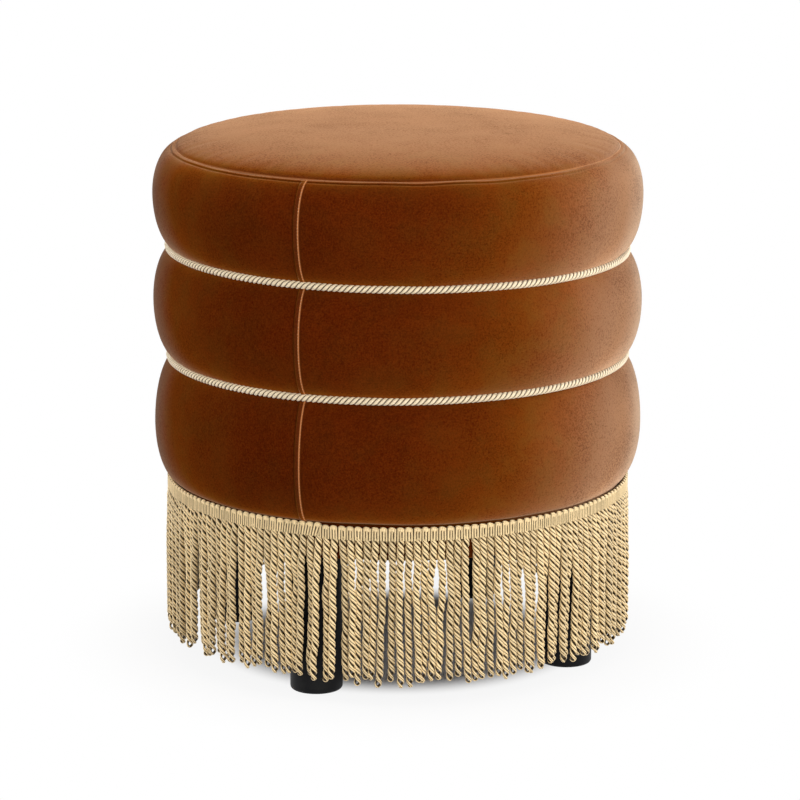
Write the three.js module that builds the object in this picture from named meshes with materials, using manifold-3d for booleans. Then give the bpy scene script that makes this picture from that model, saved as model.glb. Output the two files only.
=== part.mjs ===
// A round tuffet: three stacked velvet rolls on a wooden drum, with a cord in each groove,
// a bullion fringe and four legs.
// Millimetres, +Z up. The origin is on the floor, under the centre of the seat.

import * as THREE from 'three';
import { mergeVertices } from 'three/addons/utils/BufferGeometryUtils.js';
import Module from 'manifold-3d';

// Smoothness
const BODY_SIDES = 40;
const LEG_SIDES = 16;
const BORE_SIDES = 10;
const CORD_SIDES = 6;
const ROLL_STEPS = 6;
const CROWN_STEPS = 4;
const FILLET_STEPS = 2;
const STRAND_SIDES = 4;
const HEADER_STEPS = 12;

// Clearances
const SEAT_GAP = 0.3;
const SCREW_SINK = 0.3;
const CUT_OVERRUN = 1;
const MERGE_DISTANCE = 0.001;

// Velvet body, from the floor up
const ROLL_RADIUS = 216;
const GROOVE_DEPTH = 20.5;
const SEAM_INSET = 21.2;
const LOWER_ROLL_HEIGHT = 107.6;
const MIDDLE_ROLL_HEIGHT = 95.5;
const UPPER_ROLL_HEIGHT = 88.4;
const LOWER_BELLY_SHARE = 0.43;
const MIDDLE_BELLY_SHARE = 0.51;
const UPPER_BELLY_SHARE = 0.55;
const CROWN_RISE = 17.4;
const CROWN_FALL_POWER = 3;
const CROWN_ROUND_POWER = 1.85;
const VELVET_THICKNESS = 1.5;
const TURN_UNDER_WIDTH = 28;

// Foam and wadding
const WADDING_THICKNESS = 4;
const BOARD_EDGE_FOAM = 7;

// Groove cords
const CORD_DIAMETER = 6.4;

// Fringe
const FRINGE_LENGTH = 140;
const HEADER_HEIGHT = 12;
const STRAND_WIDTH = 6.4;
const STRAND_SPACING = 0.7;
const STRAND_ROOT_WIDTH = 4;
const STRAND_SHOULDER = 5;
const STRAND_ROOT_DEPTH = 2;
const STRAND_UNEVENNESS = 1.6;
const HEADER_THICKNESS = 5.6;
const FRINGE_SETBACK = 9.6;
const QUARTERS = 4;

// Wooden drum
const BOARD_THICKNESS = 18;
const BOARD_LIFT = 6.1;
const WALL_THICKNESS = 3;
const ROLL_FOAM_AT_GROOVE = 14;
const POST_WIDTH = 45;
const POST_THICKNESS = 20;
const POST_COUNT = 4;

// Legs and their fastenings
const LEG_COUNT = 4;
const LEG_LENGTH = 125.6;
const LEG_DIAMETER = 45.5;
const LEG_EDGE_DISTANCE = 33.4;
const LEG_FOOT_FILLET = 3;
const DUST_COVER_THICKNESS = 1;
const DUST_COVER_MARGIN = 6;
const BOLT_DIAMETER = 8;
const BOLT_DEPTH_IN_LEG = 32;
const BOLT_STAND_OUT = 3;
const TEE_BARREL_DIAMETER = 11;
const TEE_BARREL_LENGTH = 12;
const TEE_FLANGE_DIAMETER = 22;
const TEE_FLANGE_THICKNESS = 1.6;

// Wood screws
const SCREW_HEAD_DIAMETER = 9;
const SCREW_HEAD_DEPTH = 3;
const SCREW_SHANK_DIAMETER = 4.4;
const SCREW_LENGTH = 50;
const SCREW_POINT = 6;

// Heights of the base, from the floor
const coverBottom = LEG_LENGTH + SEAT_GAP;
const coverTop = coverBottom + DUST_COVER_THICKNESS;
const turnUnderBottom = coverTop + SEAT_GAP;
const turnUnderTop = turnUnderBottom + VELVET_THICKNESS;
const baseBoardBottom = turnUnderTop + SEAT_GAP;
const baseBoardTop = baseBoardBottom + BOARD_THICKNESS;

// The header covers the edge of the base board, and the lower roll swells out over it
const headerBottom = baseBoardTop - SEAT_GAP;
const headerTop = headerBottom + HEADER_HEIGHT;
const fringeBottom = headerTop - FRINGE_LENGTH;

// Heights of the rolls
const lowerRollBottom = headerTop + SEAT_GAP;
const lowerGroove = lowerRollBottom + LOWER_ROLL_HEIGHT;
const upperGroove = lowerGroove + MIDDLE_ROLL_HEIGHT;
const seamHeight = upperGroove + UPPER_ROLL_HEIGHT;

// Radii that follow from the rolls and the fringe
const facetShare = Math.cos(Math.PI / BODY_SIDES);
const grooveRadius = ROLL_RADIUS - GROOVE_DEPTH;
const seamRadius = ROLL_RADIUS - SEAM_INSET;
const skirtRadius = ROLL_RADIUS - FRINGE_SETBACK - STRAND_WIDTH - SEAT_GAP;
const wallOuterRadius = grooveRadius - VELVET_THICKNESS - SEAT_GAP - ROLL_FOAM_AT_GROOVE;
const wallInnerRadius = wallOuterRadius - WALL_THICKNESS;
const baseBoardRadius = skirtRadius - VELVET_THICKNESS - SEAT_GAP;
const topBoardRadius = grooveRadius - BOARD_EDGE_FOAM;
const legCircle = baseBoardRadius - LEG_EDGE_DISTANCE;
const wallReachAtPost = Math.sqrt(wallInnerRadius ** 2 - (POST_WIDTH / 2) ** 2) * facetShare;
const postCircle = wallReachAtPost - SEAT_GAP - POST_THICKNESS / 2;

// The top board lies just above the upper groove, and the seat foam lies on it
const topBoardBottom = upperGroove + BOARD_LIFT;
const topBoardTop = topBoardBottom + BOARD_THICKNESS;
const seatFoamBottom = topBoardTop + SEAT_GAP;

const wasm = await Module();
wasm.setup();

const tuffet = new THREE.Group();

const velvet = new THREE.MeshStandardMaterial({ color: 0x8a4418, roughness: 0.75, metalness: 0 });
const cream = new THREE.MeshStandardMaterial({ color: 0xd8c49a, roughness: 0.7, metalness: 0 });
const bullion = new THREE.MeshStandardMaterial({ color: 0xc9ae7c, roughness: 0.65, metalness: 0 });
const blackWood = new THREE.MeshStandardMaterial({ color: 0x0d0c0c, roughness: 0.3, metalness: 0 });
const foam = new THREE.MeshStandardMaterial({ color: 0xe9dfb8, roughness: 0.95, metalness: 0 });
const wadding = new THREE.MeshStandardMaterial({ color: 0xf2f2ee, roughness: 1, metalness: 0 });
const plywood = new THREE.MeshStandardMaterial({ color: 0xc8a673, roughness: 0.8, metalness: 0 });
const hardboard = new THREE.MeshStandardMaterial({ color: 0x7a5433, roughness: 0.85, metalness: 0 });
const pine = new THREE.MeshStandardMaterial({ color: 0xd9b984, roughness: 0.8, metalness: 0 });
const zincSteel = new THREE.MeshStandardMaterial({ color: 0xb4b6b8, roughness: 0.4, metalness: 1 });
const blackCloth = new THREE.MeshStandardMaterial({ color: 0x161616, roughness: 0.95, metalness: 0 });

function addPiece(name, geometry, material) {
  const piece = new THREE.Mesh(geometry, material);
  piece.name = name;
  tuffet.add(piece);
}

// A solid of revolution about the z axis, from a list of [radius, height] with the body on its left.
function turned(profile, sides) {
  const points = profile.map(([radius, height]) => new THREE.Vector2(radius, height));
  const geometry = new THREE.LatheGeometry(points, sides);
  geometry.rotateX(Math.PI / 2);
  return geometry;
}

// A ring's profile closes on its own first point.
function turnedRing(profile, sides) {
  return turned([...profile, profile[0]], sides);
}

function toSolid(geometry) {
  const bare = geometry.clone();
  bare.deleteAttribute('normal');
  bare.deleteAttribute('uv');
  const merged = mergeVertices(bare, MERGE_DISTANCE);
  const mesh = new wasm.Mesh({
    numProp: 3,
    vertProperties: new Float32Array(merged.attributes.position.array),
    triVerts: new Uint32Array(merged.index.array),
  });
  mesh.merge();
  return new wasm.Manifold(mesh);
}

function toGeometry(solid) {
  const mesh = solid.getMesh();
  const geometry = new THREE.BufferGeometry();
  geometry.setAttribute('position', new THREE.BufferAttribute(new Float32Array(mesh.vertProperties), 3));
  geometry.setIndex(new THREE.BufferAttribute(new Uint32Array(mesh.triVerts), 1));
  geometry.computeVertexNormals();
  return geometry;
}

function moved(geometry, x, y, z) {
  return geometry.clone().translate(x, y, z);
}

function cut(geometry, cutters) {
  let solid = toSolid(geometry);
  for (const cutter of cutters) solid = solid.subtract(toSolid(cutter));
  return toGeometry(solid);
}

function around(count, radius, firstAngle) {
  return Array.from({ length: count }, (_, i) => {
    const angle = firstAngle + (2 * Math.PI * i) / count;
    return { x: radius * Math.cos(angle), y: radius * Math.sin(angle), angle, number: i + 1 };
  });
}

const legPlaces = around(LEG_COUNT, legCircle, Math.PI / LEG_COUNT);
const postPlaces = around(POST_COUNT, postCircle, 0);

// One roll's outline, going up: a quarter ellipse below the belly and another above it.
function rollOutline(roll, inset) {
  const points = [];
  const belly = roll.bottom + (roll.top - roll.bottom) * roll.bellyShare;
  for (let i = 0; i <= ROLL_STEPS; i += 1) {
    const angle = Math.PI * (i / ROLL_STEPS - 0.5);
    const below = angle < 0;
    const endRadius = below ? roll.bottomRadius : roll.topRadius;
    const reach = below ? belly - roll.bottom : roll.top - belly;
    const radius = endRadius + (ROLL_RADIUS - endRadius) * Math.cos(angle);
    points.push([radius - inset, belly + reach * Math.sin(angle)]);
  }
  return points;
}

const lowerRoll = {
  bottom: lowerRollBottom,
  top: lowerGroove - SEAT_GAP / 2,
  bottomRadius: skirtRadius,
  topRadius: grooveRadius,
  bellyShare: LOWER_BELLY_SHARE,
};
const middleRoll = {
  bottom: lowerGroove + SEAT_GAP / 2,
  top: upperGroove - SEAT_GAP / 2,
  bottomRadius: grooveRadius,
  topRadius: grooveRadius,
  bellyShare: MIDDLE_BELLY_SHARE,
};
const upperRoll = {
  bottom: upperGroove + SEAT_GAP / 2,
  top: seamHeight,
  bottomRadius: grooveRadius,
  topRadius: seamRadius,
  bellyShare: UPPER_BELLY_SHARE,
};

function bandCover(roll) {
  const outer = rollOutline(roll, 0);
  const inner = rollOutline(roll, VELVET_THICKNESS);
  return turnedRing([...outer, ...inner.reverse()], BODY_SIDES);
}

// The lower band runs down over the edge of the base board and turns under it.
function lowerBandCover() {
  const outer = rollOutline(lowerRoll, 0);
  const inner = rollOutline(lowerRoll, VELVET_THICKNESS);
  const turnUnder = [
    [skirtRadius - TURN_UNDER_WIDTH, turnUnderTop],
    [skirtRadius - TURN_UNDER_WIDTH, turnUnderBottom],
    [skirtRadius, turnUnderBottom],
  ];
  const inside = [[skirtRadius - VELVET_THICKNESS, turnUnderTop]];
  return turnedRing([...turnUnder, ...outer, ...inner.reverse(), ...inside], BODY_SIDES);
}

// The crown's outline from its edge to the axis, with its own edge radius and rise.
function crownOutline(edgeRadius, rise) {
  const points = [];
  for (let i = 0; i <= CROWN_STEPS; i += 1) {
    const share = Math.cos((Math.PI / 2) * (i / CROWN_STEPS));
    const fall = Math.max(0, 1 - share ** CROWN_FALL_POWER) ** (1 / CROWN_ROUND_POWER);
    points.push([i === CROWN_STEPS ? 0 : edgeRadius * share, seamHeight + SEAT_GAP + rise * fall]);
  }
  return points;
}

function crownShell(inset, thickness) {
  const outer = crownOutline(seamRadius - inset, CROWN_RISE - inset);
  const inner = crownOutline(seamRadius - inset - thickness, CROWN_RISE - inset - thickness);
  return turned([...inner.reverse(), ...outer], BODY_SIDES);
}

// The seat foam fills the upper roll above the top board, with a step under the wadding's edge.
function seatFoam() {
  const inset = VELVET_THICKNESS + SEAT_GAP;
  const crownInset = inset + WADDING_THICKNESS + SEAT_GAP;
  const side = rollOutline(upperRoll, inset).filter(([, height]) => height > seatFoamBottom);
  const top = crownOutline(seamRadius - crownInset, CROWN_RISE - crownInset);
  const step = [[seamRadius - crownInset, seamHeight]];
  const edgeRadius = outlineRadius(upperRoll, inset, seatFoamBottom);
  const bottom = [[0, seatFoamBottom], [edgeRadius, seatFoamBottom]];
  return turned([...bottom, ...side, ...step, ...top], BODY_SIDES);
}

// The radius of a roll's stepped outline at a height.
function outlineRadius(roll, inset, height) {
  const points = rollOutline(roll, inset);
  const next = points.findIndex(([, z]) => z >= height);
  const [r0, z0] = points[next - 1];
  const [r1, z1] = points[next];
  return r0 + ((r1 - r0) * (height - z0)) / (z1 - z0);
}

function rollFoam(roll, innerRadius) {
  const outline = rollOutline(roll, VELVET_THICKNESS + SEAT_GAP);
  return turnedRing([[innerRadius, roll.bottom], ...outline, [innerRadius, roll.top]], BODY_SIDES);
}

function lowerRollFoam() {
  const outline = rollOutline(lowerRoll, VELVET_THICKNESS + SEAT_GAP);
  const innerRadius = wallOuterRadius + SEAT_GAP;
  const bottom = baseBoardTop + SEAT_GAP;
  const top = lowerRoll.top;
  const profile = [[innerRadius, bottom], [baseBoardRadius, bottom], ...outline, [innerRadius, top]];
  return turnedRing(profile, BODY_SIDES);
}

function seatEdgeFoam() {
  const inset = VELVET_THICKNESS + SEAT_GAP;
  const top = topBoardTop;
  const side = rollOutline(upperRoll, inset).filter(([, height]) => height < top);
  const innerRadius = topBoardRadius + SEAT_GAP;
  const upperCorner = [outlineRadius(upperRoll, inset, top), top];
  const profile = [[innerRadius, upperRoll.bottom], ...side, upperCorner, [innerRadius, top]];
  return turnedRing(profile, BODY_SIDES);
}

// The cord's centre stands where it just clears both flanks of the groove.
function cordCentreRadius(rollBelow, rollAbove) {
  const below = rollOutline(rollBelow, 0).slice(-2);
  const above = rollOutline(rollAbove, 0).slice(0, 2);
  const slopes = [below, above].map(([[r0, z0], [r1, z1]]) => {
    return Math.atan2(Math.abs(z1 - z0), Math.abs(r1 - r0));
  });
  return grooveRadius + (CORD_DIAMETER / 2 + SEAT_GAP) / Math.sin(Math.min(...slopes));
}

function grooveCord(rollBelow, rollAbove, height) {
  const centre = cordCentreRadius(rollBelow, rollAbove);
  const section = Array.from({ length: CORD_SIDES }, (_, i) => {
    const angle = (2 * Math.PI * i) / CORD_SIDES;
    return [centre + (CORD_DIAMETER / 2) * Math.cos(angle), height + (CORD_DIAMETER / 2) * Math.sin(angle)];
  });
  return turnedRing(section, BODY_SIDES);
}

const headerInnerRadius = skirtRadius + SEAT_GAP;
const strandCircle = skirtRadius + SEAT_GAP + STRAND_WIDTH / 2;
const goldenAngle = Math.PI * (3 - Math.sqrt(5));
const fringeRound = 2 * Math.PI * strandCircle;
const strandsPerQuarter = Math.round(fringeRound / (STRAND_WIDTH + STRAND_SPACING) / QUARTERS);

// A strand is narrow where it leaves the header and full below its shoulder.
// No two neighbours end at one height.
function fringeStrand(angle, number) {
  const bottom = fringeBottom + STRAND_UNEVENNESS * (1 + Math.sin(number * goldenAngle));
  const fullRadius = STRAND_WIDTH / 2;
  const profile = [
    [0, bottom],
    [fullRadius, bottom],
    [fullRadius, headerBottom - STRAND_SHOULDER],
    [STRAND_ROOT_WIDTH / 2, headerBottom + STRAND_ROOT_DEPTH],
    [0, headerBottom + STRAND_ROOT_DEPTH],
  ];
  const strand = turned(profile, STRAND_SIDES);
  strand.rotateZ(angle);
  return moved(strand, strandCircle * Math.cos(angle), strandCircle * Math.sin(angle), 0);
}

// A quarter of the header's ribbed tape, from one angle to the next.
function headerSlice(start, end) {
  const outline = new THREE.Shape();
  const inner = headerInnerRadius / Math.cos((end - start) / HEADER_STEPS / 2);
  const outer = inner + HEADER_THICKNESS;
  for (let i = 0; i <= HEADER_STEPS; i += 1) {
    const angle = start + ((end - start) * i) / HEADER_STEPS;
    if (i === 0) outline.moveTo(outer * Math.cos(angle), outer * Math.sin(angle));
    else outline.lineTo(outer * Math.cos(angle), outer * Math.sin(angle));
  }
  for (let i = HEADER_STEPS; i >= 0; i -= 1) {
    const angle = start + ((end - start) * i) / HEADER_STEPS;
    outline.lineTo(inner * Math.cos(angle), inner * Math.sin(angle));
  }
  outline.closePath();
  const slice = new THREE.ExtrudeGeometry(outline, { depth: HEADER_HEIGHT, bevelEnabled: false });
  return moved(slice, 0, 0, headerBottom);
}

function fringeQuarter(index) {
  const quarter = (2 * Math.PI) / QUARTERS;
  const start = index * quarter;
  const endGap = SEAT_GAP / 2 / strandCircle;
  const strands = [];
  for (let i = 0; i < strandsPerQuarter; i += 1) {
    const angle = start + ((i + 0.5) * quarter) / strandsPerQuarter;
    strands.push(toSolid(fringeStrand(angle, index * strandsPerQuarter + i)));
  }
  const header = toSolid(headerSlice(start + endGap, start + quarter - endGap));
  return toGeometry(wasm.Manifold.union([header, ...strands]));
}

function discShape(radius, sides) {
  const shape = new THREE.Shape();
  for (let i = 0; i < sides; i += 1) {
    const angle = (2 * Math.PI * i) / sides;
    if (i === 0) shape.moveTo(radius, 0);
    else shape.lineTo(radius * Math.cos(angle), radius * Math.sin(angle));
  }
  shape.closePath();
  return shape;
}

function disc(radius, bottom, thickness, holes, holeRadius) {
  const shape = discShape(radius, BODY_SIDES);
  for (const { x, y } of holes) {
    const hole = new THREE.Path();
    for (let i = 0; i < BORE_SIDES; i += 1) {
      const angle = (-2 * Math.PI * i) / BORE_SIDES;
      if (i === 0) hole.moveTo(x + holeRadius, y);
      else hole.lineTo(x + holeRadius * Math.cos(angle), y + holeRadius * Math.sin(angle));
    }
    hole.closePath();
    shape.holes.push(hole);
  }
  return moved(new THREE.ExtrudeGeometry(shape, { depth: thickness, bevelEnabled: false }), 0, 0, bottom);
}

// A countersunk screw with its head's flat face at z = 0 and its point below.
// The cutter for it is wider by the clearance.
function woodScrew(clearance) {
  const head = SCREW_HEAD_DIAMETER / 2 + clearance;
  const shank = SCREW_SHANK_DIAMETER / 2 + clearance;
  const rim = clearance > 0 ? [[head, CUT_OVERRUN], [0, CUT_OVERRUN]] : [[0, 0]];
  const profile = [
    [0, -SCREW_LENGTH - clearance],
    [shank, -SCREW_LENGTH + SCREW_POINT],
    [shank, -SCREW_HEAD_DEPTH],
    [head, 0],
    ...rim,
  ];
  return turned(profile, BORE_SIDES);
}

function topScrewAt(place, clearance) {
  return moved(woodScrew(clearance), place.x, place.y, topBoardTop - SCREW_SINK);
}

function baseScrewAt(place, clearance) {
  const screw = woodScrew(clearance).rotateX(Math.PI);
  return moved(screw, place.x, place.y, baseBoardBottom + SCREW_SINK);
}

function addVelvet() {
  addPiece('velvet_top_panel', crownShell(0, VELVET_THICKNESS), velvet);
  addPiece('velvet_upper_band', bandCover(upperRoll), velvet);
  addPiece('velvet_middle_band', bandCover(middleRoll), velvet);
  addPiece('velvet_lower_band', lowerBandCover(), velvet);
}

function addTrim() {
  addPiece('upper_groove_cord', grooveCord(middleRoll, upperRoll, upperGroove), cream);
  addPiece('lower_groove_cord', grooveCord(lowerRoll, middleRoll, lowerGroove), cream);
  ['back_right', 'back_left', 'front_left', 'front_right'].forEach((corner, index) => {
    addPiece(`fringe_${corner}`, fringeQuarter(index), bullion);
  });
}

function addStuffing() {
  addPiece('seat_wadding', crownShell(VELVET_THICKNESS + SEAT_GAP, WADDING_THICKNESS), wadding);
  addPiece('seat_foam', seatFoam(), foam);
  addPiece('seat_edge_foam', seatEdgeFoam(), foam);
  addPiece('middle_roll_foam', rollFoam(middleRoll, wallOuterRadius + SEAT_GAP), foam);
  addPiece('lower_roll_foam', lowerRollFoam(), foam);
}

function addBoards() {
  const topCutters = postPlaces.map((place) => topScrewAt(place, SEAT_GAP));
  const baseCutters = postPlaces.map((place) => baseScrewAt(place, SEAT_GAP));
  const teeHoleRadius = TEE_BARREL_DIAMETER / 2 + SEAT_GAP;
  const topBlank = disc(topBoardRadius, topBoardBottom, BOARD_THICKNESS, [], 0);
  const baseBlank = disc(baseBoardRadius, baseBoardBottom, BOARD_THICKNESS, legPlaces, teeHoleRadius);
  addPiece('top_board', cut(topBlank, topCutters), plywood);
  addPiece('base_board', cut(baseBlank, baseCutters), plywood);
}

function addDrumWall() {
  const bottom = baseBoardTop + SEAT_GAP;
  const top = topBoardBottom - SEAT_GAP;
  const profile = [
    [wallInnerRadius, bottom],
    [wallOuterRadius, bottom],
    [wallOuterRadius, top],
    [wallInnerRadius, top],
  ];
  addPiece('drum_wall', turnedRing(profile, BODY_SIDES), hardboard);
}

function addPosts() {
  const bottom = baseBoardTop + SEAT_GAP;
  const length = topBoardBottom - SEAT_GAP - bottom;
  for (const place of postPlaces) {
    const blank = new THREE.BoxGeometry(POST_THICKNESS, POST_WIDTH, length);
    blank.rotateZ(place.angle);
    const post = moved(blank, place.x, place.y, bottom + length / 2);
    const cutters = [topScrewAt(place, SEAT_GAP), baseScrewAt(place, SEAT_GAP)];
    addPiece(`post_${place.number}`, cut(post, cutters), pine);
    addPiece(`top_screw_${place.number}`, topScrewAt(place, 0), zincSteel);
    addPiece(`base_screw_${place.number}`, baseScrewAt(place, 0), zincSteel);
  }
}

function teeNut() {
  const bore = BOLT_DIAMETER / 2 + SEAT_GAP;
  const flangeBottom = baseBoardTop + SEAT_GAP;
  const flangeTop = flangeBottom + TEE_FLANGE_THICKNESS;
  const barrelBottom = flangeBottom - TEE_BARREL_LENGTH;
  const profile = [
    [bore, barrelBottom],
    [TEE_BARREL_DIAMETER / 2, barrelBottom],
    [TEE_BARREL_DIAMETER / 2, flangeBottom],
    [TEE_FLANGE_DIAMETER / 2, flangeBottom],
    [TEE_FLANGE_DIAMETER / 2, flangeTop],
    [bore, flangeTop],
  ];
  return turnedRing(profile, BORE_SIDES);
}

function hangerBolt() {
  const bottom = LEG_LENGTH - BOLT_DEPTH_IN_LEG;
  const top = baseBoardTop + SEAT_GAP + TEE_FLANGE_THICKNESS + BOLT_STAND_OUT;
  const radius = BOLT_DIAMETER / 2;
  return turned([[0, bottom], [radius, bottom], [radius, top], [0, top]], BORE_SIDES);
}

// A plain round leg with a softened foot and a blind bore in its top for the hanger bolt.
function leg() {
  const radius = LEG_DIAMETER / 2;
  const bore = BOLT_DIAMETER / 2 + SEAT_GAP;
  const boreBottom = LEG_LENGTH - BOLT_DEPTH_IN_LEG - SEAT_GAP;
  const foot = [];
  for (let i = 0; i <= FILLET_STEPS; i += 1) {
    const angle = (Math.PI / 2) * (i / FILLET_STEPS);
    const inset = LEG_FOOT_FILLET * (1 - Math.sin(angle));
    foot.push([radius - inset, LEG_FOOT_FILLET * (1 - Math.cos(angle))]);
  }
  const top = [[radius, LEG_LENGTH], [bore, LEG_LENGTH], [bore, boreBottom], [0, boreBottom]];
  return turned([[0, 0], ...foot, ...top], LEG_SIDES);
}

function addLegs() {
  for (const { x, y, number } of legPlaces) {
    addPiece(`leg_${number}`, moved(leg(), x, y, 0), blackWood);
    addPiece(`hanger_bolt_${number}`, moved(hangerBolt(), x, y, 0), zincSteel);
    addPiece(`tee_nut_${number}`, moved(teeNut(), x, y, 0), zincSteel);
  }
  const boltHole = BOLT_DIAMETER / 2 + SEAT_GAP;
  const coverRadius = skirtRadius - DUST_COVER_MARGIN;
  const cover = disc(coverRadius, coverBottom, DUST_COVER_THICKNESS, legPlaces, boltHole);
  addPiece('dust_cover', cover, blackCloth);
}

addVelvet();
addTrim();
addStuffing();
addBoards();
addDrumWall();
addPosts();
addLegs();

export default tuffet;
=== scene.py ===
"""Visual model of a round tuffet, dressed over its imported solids.

Three velvet rolls and a crowned top, a twisted cord in each groove, a bullion fringe, four black legs, and
the foam and wood inside. Metres, +Z up, with the origin on the floor under the middle of the seat.
"""

import logging
import math
from dataclasses import dataclass
from enum import Enum
from typing import Any, Union

import bpy
import numpy as np
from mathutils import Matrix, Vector


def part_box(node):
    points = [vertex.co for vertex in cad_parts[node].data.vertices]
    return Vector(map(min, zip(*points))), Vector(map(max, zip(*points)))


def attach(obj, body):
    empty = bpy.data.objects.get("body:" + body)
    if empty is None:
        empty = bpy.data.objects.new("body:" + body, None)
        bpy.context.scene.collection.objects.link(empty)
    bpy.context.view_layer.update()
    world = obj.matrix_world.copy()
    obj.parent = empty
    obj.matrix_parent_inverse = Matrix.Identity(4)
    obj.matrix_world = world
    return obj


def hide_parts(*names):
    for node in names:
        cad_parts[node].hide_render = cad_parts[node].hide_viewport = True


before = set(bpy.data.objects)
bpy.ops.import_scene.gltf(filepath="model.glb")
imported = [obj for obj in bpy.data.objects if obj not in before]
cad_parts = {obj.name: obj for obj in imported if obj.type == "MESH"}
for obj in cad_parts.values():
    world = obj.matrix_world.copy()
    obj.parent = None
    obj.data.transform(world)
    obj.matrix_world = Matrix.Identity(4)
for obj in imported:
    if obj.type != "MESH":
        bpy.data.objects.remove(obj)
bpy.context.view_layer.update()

log = logging.getLogger("tuffet")

Colour = tuple[float, float, float]
Operand = Union["Number", float, int]
Outline = tuple[tuple[float, float, float], ...]

MM = 0.001
TURN = 2 * math.pi
BODY = "root"
VIEW_POLAR = math.radians(-109.7)
VIEW_RIGHT = VIEW_POLAR + TURN / 4
SEAM_POLAR = math.radians(-132.3)
VELVET_THICKNESS = 1.5 * MM
SEAT_GAP = 0.3 * MM
SHARP_ANGLE = math.radians(40)


class Quarter(Enum):
    """The four quarters that the fringe is kept in, in the order of their angle."""

    BACK_RIGHT = 0
    BACK_LEFT = 1
    FRONT_LEFT = 2
    FRONT_RIGHT = 3

    @property
    def node(self) -> str:
        """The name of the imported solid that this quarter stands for."""
        return f"fringe_{self.name.lower()}"


class Number:
    """One number of a node tree, which takes plain arithmetic."""

    def __init__(self, graph: "Graph", socket: bpy.types.NodeSocket) -> None:
        """Keeps the graph, and the socket that carries the number."""
        self.graph = graph
        self.socket = socket

    def __add__(self, other: Operand) -> "Number":
        """The sum."""
        return self.graph.math("ADD", self, other)

    def __sub__(self, other: Operand) -> "Number":
        """The difference."""
        return self.graph.math("SUBTRACT", self, other)

    def __rsub__(self, other: Operand) -> "Number":
        """The difference, from a plain number."""
        return self.graph.math("SUBTRACT", other, self)

    def __mul__(self, other: Operand) -> "Number":
        """The product."""
        return self.graph.math("MULTIPLY", self, other)

    def __truediv__(self, other: Operand) -> "Number":
        """The quotient."""
        return self.graph.math("DIVIDE", self, other)

    __radd__ = __add__
    __rmul__ = __mul__


class Graph:
    """Adds nodes to a shader tree or a geometry tree."""

    def __init__(self, tree: bpy.types.NodeTree) -> None:
        """Keeps the tree that the nodes go into."""
        self.tree = tree

    def feed(self, socket: bpy.types.NodeSocket, value: Any) -> None:
        """Links a socket to another one, or gives it a plain value.

        Args:
            socket: the input to set.
            value: a Number, an output socket, or a plain value; a colour may have three parts.
        """
        if isinstance(value, Number):
            value = value.socket
        if isinstance(value, bpy.types.NodeSocket):
            self.tree.links.new(value, socket)
        elif socket.type == "RGBA" and len(value) == 3:
            socket.default_value = (*value, 1.0)
        else:
            socket.default_value = value

    def node(self, kind: str, inputs: dict[str | int, Any] | None = None, **settings: Any) -> bpy.types.Node:
        """Adds a node.

        Args:
            kind: the node's type name.
            inputs: what goes into its sockets, by name or number.
            settings: the node's own properties, set first.

        Returns:
            The node.
        """
        made = self.tree.nodes.new(kind)
        for name, setting in settings.items():
            setattr(made, name, setting)
        for key, value in (inputs or {}).items():
            self.feed(made.inputs[key], value)
        return made

    def math(self, operation: str, *values: Operand, clamp: bool = False) -> Number:
        """One step of arithmetic.

        Args:
            operation: the name of the operation.
            values: its operands.
            clamp: whether the result is held between 0 and 1.

        Returns:
            The result.
        """
        made = self.node("ShaderNodeMath", dict(enumerate(values)), operation=operation, use_clamp=clamp)
        return Number(self, made.outputs[0])

    def rise(self, value: Operand, low: float, high: float) -> Number:
        """A smooth step, 0 up to low and 1 from high."""
        sockets = {"Value": value, "From Min": low, "From Max": high}
        made = self.node("ShaderNodeMapRange", sockets, interpolation_type="SMOOTHSTEP")
        return Number(self, made.outputs["Result"])

    def point(self, x: Operand, y: Operand, z: Operand) -> bpy.types.NodeSocket:
        """A vector from its three parts."""
        return self.node("ShaderNodeCombineXYZ", {0: x, 1: y, 2: z}).outputs[0]

    def round_axis(self, angle: Number, out: Operand, up: Operand,
                   aside: Operand = 0.0) -> bpy.types.NodeSocket:
        """A vector from its parts at an angle round the z axis.

        Args:
            angle: the angle, in radians.
            out: the part that points away from the axis.
            up: the part along the axis.
            aside: the part that points on round the axis.

        Returns:
            The vector.
        """
        cosine, sine = self.math("COSINE", angle), self.math("SINE", angle)
        return self.point(out * cosine - aside * sine, out * sine + aside * cosine, up)

    def parts(self, vector: bpy.types.NodeSocket) -> tuple[Number, Number, Number]:
        """The three parts of a vector."""
        made = self.node("ShaderNodeSeparateXYZ", {0: vector})
        return tuple(Number(self, made.outputs[i]) for i in range(3))

    def noise(self, place: Any, scale: float, detail: float = 2.0, roughness: float = 0.5) -> Number:
        """Smooth noise of about 0 to 1.

        Args:
            place: the vector that it is read at.
            scale: how many cells there are in a metre.
            detail: how many finer layers lie over it.
            roughness: how strong the finer layers are.

        Returns:
            The noise.
        """
        sockets = {"Vector": place, "Scale": scale, "Detail": detail, "Roughness": roughness}
        return Number(self, self.node("ShaderNodeTexNoise", sockets).outputs[0])

    def mix(self, share: Operand, low: Any, high: Any) -> bpy.types.NodeSocket:
        """A colour between two others."""
        sockets = {0: share, 6: low, 7: high}
        return self.node("ShaderNodeMix", sockets, data_type="RGBA").outputs[2]


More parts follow.
